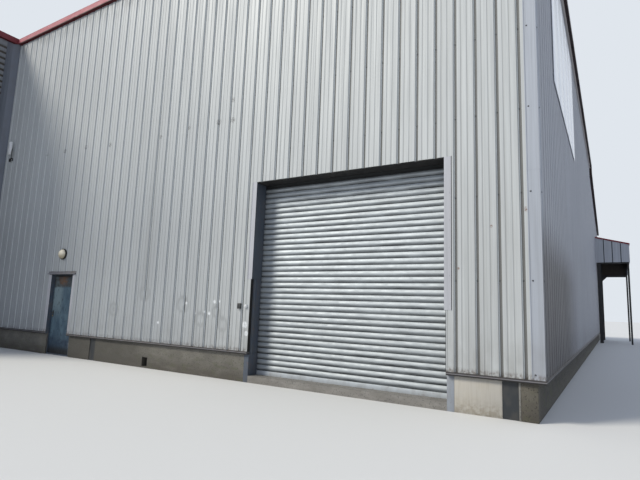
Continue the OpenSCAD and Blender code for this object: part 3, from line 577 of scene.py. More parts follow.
def clad_front(s, colours):
    """Main front: three walls from plinth to trim, and the wall over the shutter and the door."""
    # top gives the strength of the darker band under the trim and the colour of the painted shade further
    # along.
    coating = coated_sheet("light_grey_coil_coating", colours.front, colours, s.sheet_w,
                           grooves=(HALL_FACES, s.groove_deep, 0.75), top=(0.7, linear("868c93")),
                           marks=front_marks(colours))
    screws = bmesh.new()
    for node in ("front_wall_left", "front_wall_middle", "front_wall_right"):
        (u0, u1), _, (z0, z1) = span(node, FRONT)
        bm = bmesh.new()
        wall_skin(bm, s, FRONT, u0, u1, z0, z1)
        if node == "front_wall_middle":
            cut_levels(bm, DENT_RINGS)
            for u, z, radius, depth in DENTS:
                dent(bm, FRONT, u, z, radius, depth)
        finish(bm, node + "_skin", coating, [node])
        wall_screws(screws, s, FRONT, u0, u1, z0, z1)
    bm = bmesh.new()
    for (u0, u1), z0 in ((SHUTTER, SHUTTER_TOP), (DOOR, DOOR_HEIGHT[1])):
        wall_skin(bm, s, FRONT, u0, u1, z0, WALL_TOP)
        wall_screws(screws, s, FRONT, u0, u1, z0, WALL_TOP)
    finish(bm, "wall_over_openings_skin", coating, ["front_wall_over_openings"])
    finish(screws, "front_screws", paint("dirty_zinc_screws", linear("4d5052"), colours))


def side_height(u):
    """Height of a side wall at a distance from the front."""
    return WALL_TOP if u < LEVEL_DEPTH - HAIR / 2 else FALL_TOP - (u - LEVEL_DEPTH) * FALL_SLOPE


def clad_sides(s, colours):
    """Right and left walls with their falling tops, and the rear wall."""
    # top gives the darker band and the painted shade further along; corner_shade paints shade low at the
    # front corner.
    coating = coated_sheet("grey_coil_coating", colours.side, colours, s.sheet_w,
                           grooves=(HALL_FACES, s.groove_deep, 0.9), top=(0.5, toned(colours.side, 0.7)),
                           corner_shade=0.8)
    screws = bmesh.new()
    jobs = (("right_wall", RIGHT, LEVEL_DEPTH, side_height),
            ("left_wall", LEFT, HALL_DEPTH - LEVEL_DEPTH, lambda u: side_height(HALL_DEPTH - u)))
    for node, wall, step, height in jobs:
        (u0, u1), _, (z0, z1) = span(node, wall)
        near, far = (step - HAIR, step) if wall is RIGHT else (step, step + HAIR)
        outline = (face_points(s, u0, near) + face_points(s, far, u1)
                   + [(u1, WALL_BACK), (far, WALL_BACK), (near, WALL_BACK), (u0, WALL_BACK)])
        bm = bmesh.new()
        back = wall.inverted()
        for vert in prism(bm, outline, z0, z1, wall):
            if vert.co.z > (z0 + z1) / 2:
                vert.co.z = height((back @ vert.co).x)
        finish(bm, node + "_skin", coating, [node])
        wall_screws(screws, s, wall, u0, u1, z0, z1, height)
    (u0, u1), _, (z0, z1) = span("rear_wall", REAR)
    bm = bmesh.new()
    wall_skin(bm, s, REAR, u0, u1, z0, z1)
    finish(bm, "rear_wall_skin", coating, ["rear_wall"])
    wall_screws(screws, s, REAR, u0, u1, z0, z1)
    finish(screws, "side_screws", paint("dull_screws", linear("77797c"), colours))


def clad_wing(s, colours):
    """Wing walls with level ribs, each with rounded shoulders."""
    coating = coated_sheet("dark_grey_coil_coating", colours.wing, colours, s.trim_length,
                           grooves=(WING_FACES, s.rib_deep, 0.95))
    # One channel between ribs: share of its depth, and share of the rib pitch.
    channel = ((0, 0.45), (0.6, 0.48), (1, 0.56), (1, 0.89), (0.6, 0.97), (0, 1))
    for node, wall in (("wing_inner_wall", INNER), ("wing_front_wall", WING)):
        (u0, u1), _, (z0, z1) = span(node, wall)
        outline = [(WALL_BACK, z1), (WALL_BACK, z0), (0, z0)]
        outline += [(deep * s.rib_deep, z0 + (k + share) * s.rib_pitch)
                    for k in range(math.floor((z1 - z0) / s.rib_pitch)) for deep, share in channel]
        bm = bmesh.new()
        folded(bm, wall, outline + [(0, z1)], u0, u1)
        finish(bm, node + "_skin", coating, [node])


# Flashings and trims


def corner_outline(cover, out):
    """Outline of a folded angle round a corner at the origin, with a raised hem along both its edges."""
    thick = 0.003 + out
    hem = 0.011 + out
    fold = 0.012
    slant = 0.004
    return [(-cover, 0), (-cover, -hem), (-cover + fold, -hem), (-cover + fold + slant, -thick),
            (thick, -thick), (thick, cover - fold - slant), (hem, cover - fold), (hem, cover), (0, cover),
            (0, 0)]


def corner_covers(s, colours):
    """Folded angles on the outer corners, in lapped lengths with screws."""
    cover = 0.18
    screw_in = cover - 0.05
    screw_out = -0.004
    step = 0.0015
    bm, heads = bmesh.new(), bmesh.new()
    corners = ((X_RIGHT, Y_FRONT, 0, WALL_TOP), (X_RIGHT, Y_REAR, 90, REAR_TOP),
               (X_LEFT, Y_REAR, 180, REAR_TOP), (X_LEFT, Y_WING, -90, WALL_TOP),
               (X_INNER, Y_WING, 0, WALL_TOP))
    for x, y, turn, top in corners:
        place = Matrix.Translation((x, y, 0)) @ Matrix.Rotation(math.radians(turn), 4, "Z")
        other = place @ Matrix.Rotation(math.radians(90), 4, "Z")
        for z0, z1, k in lengths(WALL_BASE, top, s.trim_length):
            prism(bm, corner_outline(cover, step * (k % 2)), z0, z1, place)
        for row in range(math.ceil((top - s.rail_base) / s.rail_pitch)):
            z = s.rail_base + row * s.rail_pitch
            screw(heads, place, -screw_in, screw_out, z, s.screw_r)
            screw(heads, other, screw_in, screw_out, z, s.screw_r)
    # The corner flashing carries the same painted shade low at the corner.
    coating = coated_sheet("blue_grey_flashing", colours.flashing, colours, s.trim_length, corner_shade=0.7)
    finish(bm, "corner_flashing_skins", coating, ["corner_flashings"])
    finish(heads, "corner_screws", paint("dark_flashing_screws", linear("4a4d50"), colours))


def inner_corner(s, colours):
    """Wide folded flashing in the inner corner, and the shaded slant that turns it on to the front."""
    wide, wing_edge, front_edge = 0.38, 0.19, 0.09
    place = Matrix.Translation((X_INNER, Y_FRONT, 0))
    bm = bmesh.new()
    prism(bm, [(0, 0), (0, -wide), (0.006, -wide), (0.006, -wide + 0.01), (0.004, -wide + 0.015),
               (0.004, -wing_edge), (front_edge - 0.002, -0.018), (front_edge, -0.014), (front_edge, 0)],
          WALL_BASE, WALL_TOP, place)
    inner = coated_sheet("dark_corner_flashing", linear("646a74"), colours, s.trim_length)
    finish(bm, "inner_corner_flashing", inner)
    lift = 0.0015
    lifted = Matrix.Translation((lift, -lift, 0)) @ place
    bm = bmesh.new()
    prism(bm, [(0.006, -wing_edge), (front_edge, -0.0185), (front_edge + 0.0005, -0.0165),
               (0.0045, -wing_edge + 0.004)], WALL_BASE, WALL_TOP, lifted)
    finish(bm, "inner_corner_bend", paint("shaded_flashing_bend", linear("646a75"), colours, 0.6, 0.2))


def drip_runs():
    """Wall, start, end and depth of each run of the drip flashing."""
    nose = 0.015
    gap = 0.001
    side = span("side_plinths", RIGHT)[1][0] + 0.03
    turn = WALL_BACK + gap
    return ((FRONT, -nose, SHUTTER[0], WALL_BACK), (FRONT, SHUTTER[1], DOOR[0], WALL_BACK),
            (FRONT, DOOR[1], FRONT_WIDTH - nose - gap, WALL_BACK),
            (RIGHT, turn, HALL_DEPTH - side - gap, side), (REAR, -nose, TOTAL_WIDTH + nose, side),
            (LEFT, side + gap, HALL_DEPTH + WING_DEPTH - turn, side),
            (WING, -nose, WING_WIDTH + nose, WALL_BACK), (INNER, -WALL_BACK, WING_DEPTH - turn, WALL_BACK))


def edged_paint(name, colour, colours, low, high):
    """Painted strip with a painted shadow line at its upper joint and a black painted shadow at its lower
    edge.
    """
    made, tree = blank(name)
    dust = cloud(tree, (0.12, 0.12, 0.05), 0.4, 0.7, detail=4)
    worn = cloud(tree, (0.06, 0.06, 0.03), 0.55, 0.62, detail=4, seed=5)
    # Painted shadow: a dark line under the cladding at the joint, and a black line at the lower edge.
    joint = reach(tree, Z, high - 0.026, high - 0.018)
    edge = reach(tree, Z, low + 0.024, low + 0.016)
    film = coats(tree, colour, (dust, 0.45, colours.dirt), (worn, 0.15, colours.rust),
                 (joint, 0.9, linear("231f1e")), (edge, 0.95, linear("12100f")))
    surface(tree, film, between(tree, dust, 0.55, 0.8), 0.0, worn, 0.0006)
    return made


def drips(s, colours):
    """Drip flashing at the foot of the cladding, with a kicked nose, in lapped lengths."""
    low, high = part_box("drip_flashing")[0].z, WALL_BASE
    thick = 0.012
    lap = 0.04
    under, over = 0.0135, 0.015
    bm = bmesh.new()
    for wall, start, end, back in drip_runs():
        for u0, u1, k in lengths(start, end, s.trim_length, lap):
            out = over if k % 2 else under
            folded(bm, wall, [(0.002 - out, low), (-out, low + 0.004), (-out, high - thick),
                              (0.011 - out, high), (back, high), (back, low), (0.05, low),
                              (0.045, low + thick), (0.006 - out, low + thick), (0.004 - out, low)], u0, u1)
    coating = edged_paint("dusty_drip_coating", linear("77767a"), colours, low, high)
    finish(bm, "drip_flashing_skin", coating, ["drip_flashing"])


# Roof trims: how far they stand out at the front and at the sides, how far they reach in, and their height.
TRIM_OUT, TRIM_WIDE, TRIM_OVER, TRIM_TALL = 0.078, 0.128, 0.11, 0.188


def trim_outline(z, out, grow):
    """Outline in v and z of a folded roof trim with a drip lip and a hollow underside."""
    lip = 0.016
    hollow = 0.014
    face = -out - grow
    top = z + TRIM_TALL
    return [(face, z), (face, top - 0.006), (face + 0.004, top - 0.002 + grow), (TRIM_OVER, top - 0.001),
            (TRIM_OVER, z), (0.001, z), (0.001, z + hollow), (lip - out, z + hollow), (lip - out, z)]


def faded_red(colours):
    """Sun bleached red coating: chalky pink on the face, darker on the top edge, and painted shade at the
    drip lip.
    """
    made, tree = blank("faded_red_coil_coating")
    streaks = cloud(tree, (0.3, 0.3, 0.1), 0.35, 0.7, detail=4)
    # Painted shade: the drip lip near black, for the shaded underside of the trim.
    lip = reach(tree, Z, WALL_TOP + 0.04, WALL_TOP + 0.022)
    edge = reach(tree, Z, WALL_TOP + 0.16, WALL_TOP + 0.176)
    film = coats(tree, colours.trim, (streaks, 0.3, linear("94454f")), (lip, 0.95, linear("3d060b")),
                 (edge, 0.6, linear("842a33")))
    surface(tree, film, between(tree, streaks, 0.5, 0.7), 0.0, streaks, 0.001)
    return made


def trim_run(bm, s, wall, start, end, z, rise, out):
    """Run of folded roof trim in equal lengths, with a cover strap over each joint."""
    strap_half = 0.05
    strap_lift = 0.002
    way = 1 if end > start else -1
    for u0, u1, k in lengths(start, end, way * s.trim_length, 0):
        climb = rise * (u1 - u0) / (end - start)
        folded(bm, wall, trim_outline(z + k * climb, out, 0), u0, u1, climb)
        if k:
            strap = way * strap_half
            slope = climb / (u1 - u0)
            outline = trim_outline(z + k * climb - strap * slope, out, strap_lift)
            folded(bm, wall, outline, u0 - strap, u0 + strap, 2 * strap * slope)


def trims(s, colours):
    """Folded red trims along the tops of all walls."""
    rear_run = HALL_DEPTH - LEVEL_DEPTH
    fall_end = REAR_TOP + WALL_BACK * FALL_SLOPE
    fall_start = FALL_TOP + 0.0005
    fall = fall_end - FALL_TOP
    runs = {
        "front_trim": [(FRONT, TRIM_OVER, FRONT_WIDTH - TRIM_OUT, WALL_TOP, 0)],
        "wing_trim": [(WING, -TRIM_OUT, WING_WIDTH + TRIM_WIDE, WALL_TOP, 0),
                      (INNER, -TRIM_OVER, WING_DEPTH - TRIM_OVER - 0.001, WALL_TOP, 0)],
        "side_trims": [(RIGHT, -TRIM_OUT, LEVEL_DEPTH, WALL_TOP, 0),
                       (RIGHT, LEVEL_DEPTH, HALL_DEPTH - WALL_BACK, fall_start, fall),
                       (LEFT, rear_run, WING_DEPTH + HALL_DEPTH - TRIM_OVER, WALL_TOP, 0),
                       (LEFT, rear_run, WALL_BACK, fall_start, fall)],
        "rear_trims": [(REAR, -TRIM_WIDE, TOTAL_WIDTH + TRIM_WIDE, fall_end, 0)],
    }
    # Side and rear trims: the red darkened to near black as painted shade.
    darkened = toned(colours.shade_trim, 0.12)
    dark = coated_sheet("shade_darkened_red_coil_coating", darkened, colours, s.trim_length)
    # The wing trim's red is less faded, and darker in part as painted shade.
    finishes = {"front_trim": faded_red(colours),
                "wing_trim": coated_sheet("red_coil_coating", colours.shade_trim, colours, s.trim_length)}
    for node, parts in runs.items():
        bm = bmesh.new()
        for wall, start, end, z, rise in parts:
            trim_run(bm, s, wall, start, end, z, rise, TRIM_WIDE if node == "side_trims" else TRIM_OUT)
        if node == "rear_trims":
            step = span("rear_trims", RIGHT)[0][0]
            cuboid(bm, RIGHT, (step, step + 0.108), (TRIM_OVER, TOTAL_WIDTH - TRIM_OVER),
                   (WALL_TOP, WALL_TOP + TRIM_TALL), 0.004)
        if node == "side_trims":
            for wall, near, far in ((RIGHT, LEVEL_DEPTH + 0.001, LEVEL_DEPTH + 0.06),
                                    (LEFT, rear_run - 0.06, rear_run - 0.001)):
                cuboid(bm, wall, (near, far), (-TRIM_WIDE, TRIM_OVER),
                       (FALL_TOP + TRIM_TALL, WALL_TOP + TRIM_TALL), 0.003)
        finish(bm, node + "_skin", finishes.get(node, dark), [node])


def closures(colours):
    """Foam strips that close the grooves under the trims: dark red as painted shade, and pale grey on the
    right wall as painted light.
    """
    low = WALL_TOP - 0.025
    lap = 0.012
    fronts = ((FRONT, 0.01, FRONT_WIDTH - 0.01), (INNER, 0.06, WING_DEPTH - 0.06), (WING, 0.0, WING_WIDTH))
    sides = ((RIGHT, 0.01, LEVEL_DEPTH - 0.01),)
    # Front foam dark as painted shade under the trims; right wall foam made pale as painted light.
    for name, out, code, runs in (("front_closure", 0.058, "4a1118", fronts),
                                  ("side_closure", 0.05, "a5a2a3", sides)):
        bm = bmesh.new()
        for wall, start, end in runs:
            inmost = 0.0 if wall in (INNER, WING) else 0.03
            behind = min(inmost, 0.001)
            folded(bm, wall, [(-out, WALL_TOP + lap), (-out, WALL_TOP - 0.004), (-lap, low), (inmost, low),
                              (inmost, WALL_TOP), (behind, WALL_TOP), (behind, WALL_TOP + lap)], start, end)
        finish(bm, name, paint(name + "_foam", linear(code), colours, 0.9, 0.05))


# Plinth and frame


def concrete(name, colour, colours, damp, green, shade=0.0):
    """Cast concrete: a matt grey face with air holes and grit, damp and green at its foot, and painted shade
    by the door.

    The grit and the air holes are drawn coarser than real ones, so that they show.
    """
    made, tree = blank(name)
    blotch = cloud(tree, (0.35, 0.35, 0.2), 0.35, 0.7, detail=5)
    grit = cloud(tree, (0.012, 0.012, 0.012), 0.35, 0.65, detail=3, seed=2)
    holes = cloud(tree, (0.02, 0.02, 0.02), 0.69, 0.72, detail=0, seed=9)
    wet = together(tree, reach(tree, Z, 0.36, 0.04), cloud(tree, (0.5, 0.5, 0.12), 0.15, 0.5, seed=6))
    moss = together(tree, cloud(tree, (0.22, 0.22, 0.1), 0.5, 0.66, detail=4, seed=12),
                    reach(tree, Z, 0.6, 0.2))
    # Painted shade on the plinth beside the door.
    by_door = together(tree, reach(tree, X, X_RIGHT - 7.5, X_RIGHT - 9.5),
                       reach(tree, X, X_RIGHT - 12.8, X_RIGHT - 12.2))
    face = coats(tree, colour, (blotch, 0.6, toned(colour, 0.5)), (grit, 0.25, toned(colour, 0.6)),
                 (wet, damp, toned(colours.dirt, 0.5)), (moss, green, linear("55583f")),
                 (holes, 0.7, toned(colour, 0.25)), (by_door, shade, toned(colour, 0.3)))
    relief = add(tree, "ShaderNodeMath", {0: grit, 1: holes}, operation="SUBTRACT").outputs[0]
    surface(tree, face, between(tree, wet, 0.92, 0.7), 0.0, relief, 0.004)
    return made


def cream_sheet(colours):
    """Cream coated sheet: a satin film with splashes from the ground and upright runs of dirt."""
    made, tree = blank("cream_coated_sheet")
    splash = together(tree, reach(tree, Z, 0.3, 0.02), cloud(tree, (0.06, 0.06, 0.05), 0.35, 0.6, detail=5))
    runs = cloud(tree, (0.02, 0.02, 0.5), 0.5, 0.7, detail=4, seed=3)
    patch = cloud(tree, (0.2, 0.2, 0.15), 0.4, 0.7, seed=1)
    film = coats(tree, colours.cream, (patch, 0.2, linear("b3aa97")), (runs, 0.3, linear("8f8778")),
                 (splash, 0.6, linear("837b6c")))
    surface(tree, film, between(tree, splash, 0.5, 0.85), 0.0, patch, 0.002)
    return made


def plinths(colours):
    """Concrete plinth, the cream panel and the mortar strip beside the shutter, and the floors."""
    # Side and rear plinths: the concrete at half its colour, as painted shade.
    darkened = toned(colours.concrete, 0.5)
    recoat(concrete("weathered_cast_concrete", colours.concrete, colours, 0.9, 0.4, 0.7), "front_plinth",
           "wing_plinth")
    recoat(concrete("shade_darkened_cast_concrete", darkened, colours, 0.9, 0.5), "side_plinths", "rear_plinth")
    recoat(concrete("trowelled_floor", linear("a3a09a"), colours, 0.4, 0.1), "floor_slab", "wing_floor")
    (u0, u1), (v0, v1), (z0, z1) = span("corner_plinth", FRONT)
    foot = span("front_posts", FRONT)[0][0]
    panel = foot + 0.23
    mortar = foot - 0.026
    margin = 0.006
    bm = bmesh.new()
    cuboid(bm, FRONT, (panel, u1), (v0 + 0.004, v1), (z0, z1), 0.003)
    cuboid(bm, FRONT, (panel + margin, u1 - margin), (v0, v0 + 0.02), (0.02, z1 - 0.004), 0.002)
    finish(bm, "cream_base_panel", cream_sheet(colours), ["corner_plinth"])
    for name, u, out, bevel, material in (
            ("corner_concrete", (u0, mortar), 0, 0.008,
             concrete("dark_damp_concrete", linear("6a665c"), colours, 0.9, 0.3)),
            ("mortar_strip", (mortar, foot), 0.004, 0.003,
             concrete("pale_mortar", linear("8f8d87"), colours, 0.3, 0.0))):
        bm = bmesh.new()
        cuboid(bm, FRONT, u, (v0 - out, v1), (z0, z1), bevel)
        finish(bm, name, material)


def steel_frame(colours):
    """Finishes of the steel frame, the canopy's posts and the hinges, which stay as the CAD has them."""
    recoat(paint("dark_steel_primer", colours.dark_steel, colours, 0.55, 0.3, 0.35), "hall_columns",
           "rafters")
    recoat(paint("dark_post_paint", linear("282c30"), colours, 0.55, 0.25), "front_posts")
    recoat(paint("black_canopy_steel", linear("1b1d21"), colours, 0.55, 0.15, 0.2), "canopy_posts",
           "canopy_beams")
    recoat(paint("galvanised_rail", linear("8d9196"), colours, 0.45, 0.3), "front_rails", "side_rails",
           "hinge_pins", "leaf_knuckles")


# Roller shutter


def zinc_slats(colours, pitch, base):
    """Galvanised strip: painted highlight on crests, painted dark reflection on lower halves, painted shade
    in locks and at the ends.

    The scratches are drawn coarser than real ones, so that they show.
    """
    made, tree = blank("galvanised_slats")
    zinc = colours.zinc
    place = add(tree, "ShaderNodeSeparateXYZ", {0: add(tree, "ShaderNodeTexCoord").outputs["Object"]})
    wander = between(tree, cloud(tree, (0.5, 1, 0.09), 0.2, 0.8), -0.16, 0.16)
    phase = place.outputs[Z]
    for operation, number in (("SUBTRACT", base), ("DIVIDE", pitch), ("FRACT", 0), ("ADD", wander)):
        phase = add(tree, "ShaderNodeMath", {0: phase, 1: number}, operation=operation).outputs[0]
    # Painted light on each slat: under is a painted dark reflection on the lower half, lock is painted shade,
    # crest a painted highlight.
    bands = ((0.52, 0.22, "SMOOTHSTEP"), (0.16, 0.06, "LINEAR"), (0.74, 0.9, "SMOOTHSTEP"))
    under, lock, crest = [
        add(tree, "ShaderNodeMapRange", {"Value": phase, "From Min": start, "From Max": end},
            interpolation_type=shape).outputs[0] for start, end, shape in bands]
    smudge = together(tree, cloud(tree, (0.35, 1, 0.05), 0.5, 0.62, detail=4, seed=6),
                      reach(tree, Z, base + 1.5, base + 0.3), under)
    blotch = cloud(tree, (0.12, 0.3, 0.04), 0.35, 0.75, detail=4, seed=3)
    low = reach(tree, Z, base + 2.6, base + 0.4)
    left = X_RIGHT - SHUTTER[1]
    shaded = reach(tree, X, left + 0.45, left + 0.1)
    # Painted shade, near black, under the head of the opening.
    head_shade = reach(tree, Z, SHUTTER_TOP - 0.13, SHUTTER_TOP - 0.06)
    film = coats(tree, zinc, (crest, 0.8, toned(zinc, 1.25)), (blotch, 0.3, toned(zinc, 0.55)),
                 (low, 0.55, toned(zinc, 0.6)), (under, 0.75, toned(zinc, 0.26)),
                 (smudge, 0.7, toned(zinc, 0.12)), (shaded, 0.2, toned(zinc, 0.2)),
                 (lock, 0.85, toned(zinc, 0.07)), (head_shade, 0.95, toned(zinc, 0.03)))
    scratches = cloud(tree, (1.5, 0.3, 0.004), 0.4, 0.6, detail=2, seed=8)
    rough = either(tree, between(tree, either(tree, under, blotch), 0.52, 0.66), between(tree, head_shade, 0, 0.9))
    surface(tree, film, rough, 0.28, scratches, 0.0002)
    return made


def slat_profile(v0, z0, z1, pitch, bulge):
    """Points in v and z up the face of the curtain: a round belly on each slat and a lock between slats."""
    arc = 9
    lock = v0 + bulge + 0.006
    lip = v0 + bulge + 0.002
    points = []
    for k in range(int((z1 - z0) / pitch)):
        base = z0 + k * pitch
        points += [(lock, base + 0.0015), (lip, base + 0.004)]
        for i in range(arc):
            share = (i + 0.5) / arc
            points.append((v0 + bulge * (1 - math.sin(math.pi * share)), base + pitch * (0.05 + 0.9 * share)))
        points += [(lip, base + pitch - 0.004), (lock, base + pitch - 0.0015)]
    return points + [(v0 + bulge + 0.004, z1 - 0.001)]


def swept_columns(bm, points, u0, u1, count):
    """Open profile in v and z drawn along the front in equal steps, as columns of vertices."""
    row = [bm.verts.new(FRONT @ Vector((u0, v, z))) for v, z in points]
    edges = [bm.edges.new(pair) for pair in zip(row, row[1:])]
    step = FRONT.to_3x3() @ Vector(((u1 - u0) / count, 0, 0))
    columns = [row]
    for _ in range(count):
        made = bmesh.ops.extrude_edge_only(bm, edges=edges)["geom"]
        row = [v for v in made if isinstance(v, bmesh.types.BMVert)]
        edges = [e for e in made if isinstance(e, bmesh.types.BMEdge)
                 and e.verts[0] in row and e.verts[1] in row]
        bmesh.ops.translate(bm, vec=step, verts=row)
        columns.append(row)
    return columns


def shutter(s, colours):
    """Curtain of interlocking slats, each a little out of true, with its bottom bar."""
    (u0, u1), (v0, v1), (z0, z1) = span("shutter_curtain", FRONT)
    pitch = s.slat_pitch
    slats = int((z1 - z0) / pitch)
    lean, wave, tilt = 0.0025, 0.002, 0.004
    bulge = 0.02
    steps = 40
    rng = random.Random(7)
    bm = bmesh.new()
    columns = swept_columns(bm, slat_profile(v0, z0, z1, pitch, bulge), u0, u1, steps)
    leans = [rng.uniform(-lean, lean) for _ in range(slats + 1)]
    for vert in [vert for column in columns for vert in column]:
        height = (vert.co.z - z0) / pitch
        k = min(slats, int(height))
        waved = noise.noise(Vector((vert.co.x * 0.7, k * 3.7, 0))) * wave
        tilted = (height - k - 0.5) * tilt * noise.noise(Vector((vert.co.x * 0.5, k * 5.1, 9)))
        vert.co.y += abs(leans[k]) + max(0, waved) + abs(tilted)
    bmesh.ops.solidify(bm, geom=bm.faces[:], thickness=0.0012)
    coating = zinc_slats(colours, pitch, z0)
    finish(bm, "shutter_slats", coating, ["shutter_curtain"], smooth=50)
    (u0, u1), (v0, v1), (z0, z1) = span("shutter_bottom_bar", FRONT)
    bm = bmesh.new()
    folded(bm, FRONT, [(v0 + 0.002, z0), (v0, z0 + 0.006), (v0, z1 - 0.02), (v0 + 0.006, z1 - 0.006),
                       (v0 + 0.018, z1 - 0.003), (v1 - 0.002, z1), (v1, z0)], u0, u1)
    bar = paint("worn_zinc_bar", toned(colours.zinc, 0.95), colours, 0.4, 0.3, 0.2)
    finish(bm, "shutter_bottom_bar_skin", bar, ["shutter_bottom_bar"])
    # Guides and housing near black, as painted shade in the gap under the head.
    recoat(paint("shade_dark_grey_paint", linear("24272b"), colours, 0.5, 0.3, 0.2), "shutter_guides",
           "shutter_housing")


# Edges of the shutter opening: way to the wall, how far the reveal stands in, and where its flashing starts.
LEFT_EDGE = (1, 0.025, 2.04)
RIGHT_EDGE = (-1, 0.029, 1.545)


def jambs(colours):
    """Posts beside the shutter: a folded web on a plain foot."""
    (p0, p1), (_, back), (z0, z1) = span("jamb_posts", FRONT)
    width = 0.115
    web, web_out = 0.086, 0.128
    foot_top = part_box("front_plinth")[1].z
    face = span("front_plinth", FRONT)[1][0]
    pale = paint("pale_grey_paint", linear("8d939b"), colours, 0.5, 0.45, 0.3, 0.12)
    steel = paint("dark_blue_grey_paint", colours.post, colours, 0.5, 0.35, 0.25, 0.12)
    for name, edge, step, coat in (("right_jamb_post", p0 + width, -1, pale),
                                   ("left_jamb_post", p1 - width, 1, steel)):
        bm = bmesh.new()
        outline = ((0.014, web), (0.014, web_out), (0, web_out + 0.006), (0, back - 0.012), (0.004, back),
                   (width, back), (width, web))
        prism(bm, [(edge + step * u, v) for u, v in outline], foot_top + 0.001, z1, FRONT)
        cuboid(bm, FRONT, (edge, edge + step * width), (face, back), (z0, foot_top), 0.003)
        finish(bm, name, coat, ["jamb_posts"])


def jamb_covers(colours):
    """Folded flashings round the edges of the shutter opening: a pale cover strip and a reveal sheet painted
    dark as shade.
    """
    back = span("jamb_posts", FRONT)[1][1]
    outer_edges = span("jamb_flashing", FRONT)[0]
    thick = 0.003
    hem = 0.009
    screws = 5
    screw_pitch = 0.45
    screw_in = 0.03
    screw_foot = 0.1
    strips, reveals = bmesh.new(), bmesh.new()
    for edge, outer, (step, inset, bottom) in ((SHUTTER[1], outer_edges[1], LEFT_EDGE),
                                               (SHUTTER[0], outer_edges[0], RIGHT_EDGE)):
        near = edge - step * inset
        prism(strips, [(outer, 0), (outer, -hem), (outer - step * 0.01, -hem), (outer - step * 0.013, -thick),
                       (near, -thick), (near, 0)], bottom, SHUTTER_TOP, FRONT)
        folds = ((0, 0), (0, back - 0.008), (0.012, back), (0.012, back - thick), (thick, back - 0.01),
                 (thick, 0))
        prism(reveals, [(near + step * u, v) for u, v in folds], bottom, SHUTTER_TOP, FRONT)
        for k in range(screws):
            z = bottom + screw_foot + k * screw_pitch
            screw(strips, FRONT, outer - step * screw_in, -thick, z, SMALL_SCREW)
    coating = coated_sheet("pale_cover_strip", colours.cover, colours, width=3.0)
    finish(strips, "jamb_cover_strips", coating, ["jamb_flashing"])
    # The reveal sheets are painted dark as shade.
    finish(reveals, "jamb_reveals", paint("dark_reveal_sheet", linear("434b55"), colours, 0.55, 0.2, 0.15),
           ["jamb_flashing"])


def open_edges(colours):
    """Dark edges at the shutter opening, as painted shade: the open cladding with its cavity, a shadow gap
    beside the strips, and the head.
    """
    back = span("jamb_posts", FRONT)[1][1]
    outer_edges = span("jamb_flashing", FRONT)[0]
    bm = bmesh.new()
    # Painted shade in the open cladding edges, over their dark cavity.
    for edge, (step, _, bottom) in ((SHUTTER[1], LEFT_EDGE), (SHUTTER[0], RIGHT_EDGE)):
        cuboid(bm, FRONT, (edge - step * 0.002, edge - step * 0.008), (0.004, WALL_BACK),
               (WALL_BASE + 0.002, bottom), 0.001)
    # Painted shadow gap beside each cover strip.
    for outer, (step, _, bottom) in zip(outer_edges, (RIGHT_EDGE, LEFT_EDGE)):
        cuboid(bm, FRONT, (outer, outer + step * 0.008), (-0.003, 0.001), (bottom, SHUTTER_TOP))
    # Painted shade under the head of the opening.
    cuboid(bm, FRONT, (SHUTTER[0] + RIGHT_EDGE[1], SHUTTER[1] - LEFT_EDGE[1]), (0.012, back - 0.008),
           (SHUTTER_TOP - 0.02, SHUTTER_TOP - 0.004))
    dark = paint("cavity_shade_dark", linear("131315"), colours, 0.9, 0.1)
    finish(bm, "open_cladding_edges", dark)


# Door


def door_paint(colours, low, high):
    """Faded enamel on steel: mottled blue, chalky grey green at the upper left that is partly a painted
    highlight, navy at the kick zone.

    Below a black band of painted shadow under the hood it is burnt dark with a rust patch, and the foot is
    black with dirt.
    """
    made, tree = blank("faded_teal_enamel")
    ragged = cloud(tree, (0.12, 0.12, 0.08), 0.35, 0.65, detail=5)
    # Painted shadow: a black band at the top of the leaf, under the hood.
    band = reach(tree, Z, high - 0.05, high - 0.02)
    middle = X_RIGHT - (DOOR[0] + DOOR[1]) / 2
    burnt = together(tree, reach(tree, Z, high - 0.36, high - 0.28), between(tree, ragged, 0.6, 1))
    rust = together(tree, spot(tree, (middle - 0.06, Y_FRONT, high - 0.1), 0.27, 0.5),
                    reach(tree, Z, high - 0.36, high - 0.2), between(tree, ragged, 0.3, 1))
    # Faded paint at the upper left, lighter in part as a painted highlight.
    faded = together(tree, reach(tree, X, middle + 0.1, middle - 0.25), reach(tree, Z, low + 0.8, low + 1.4))
    kick = together(tree, reach(tree, Z, low + 0.6, low + 0.3), between(tree, ragged, 0.6, 1))
    foot = reach(tree, Z, low + 0.26, low + 0.06)
    chalk = cloud(tree, (0.12, 0.12, 0.3), 0.38, 0.66, detail=5, seed=8)
    worn = cloud(tree, (0.05, 0.05, 0.12), 0.56, 0.64, detail=5, seed=5)
    film = coats(tree, colours.door, (chalk, 0.5, linear("5c7581")), (faded, 0.7, linear("78898e")),
                 (worn, 0.7, linear("222d38")), (kick, 0.92, linear("182b3f")),
                 (burnt, 0.9, linear("2b2724")), (rust, 0.95, linear("66472d")),
                 (band, 0.95, linear("131416")), (foot, 0.96, linear("0a0e13")))
    surface(tree, film, between(tree, chalk, 0.45, 0.7), 0.0, worn, 0.0006)
    return made


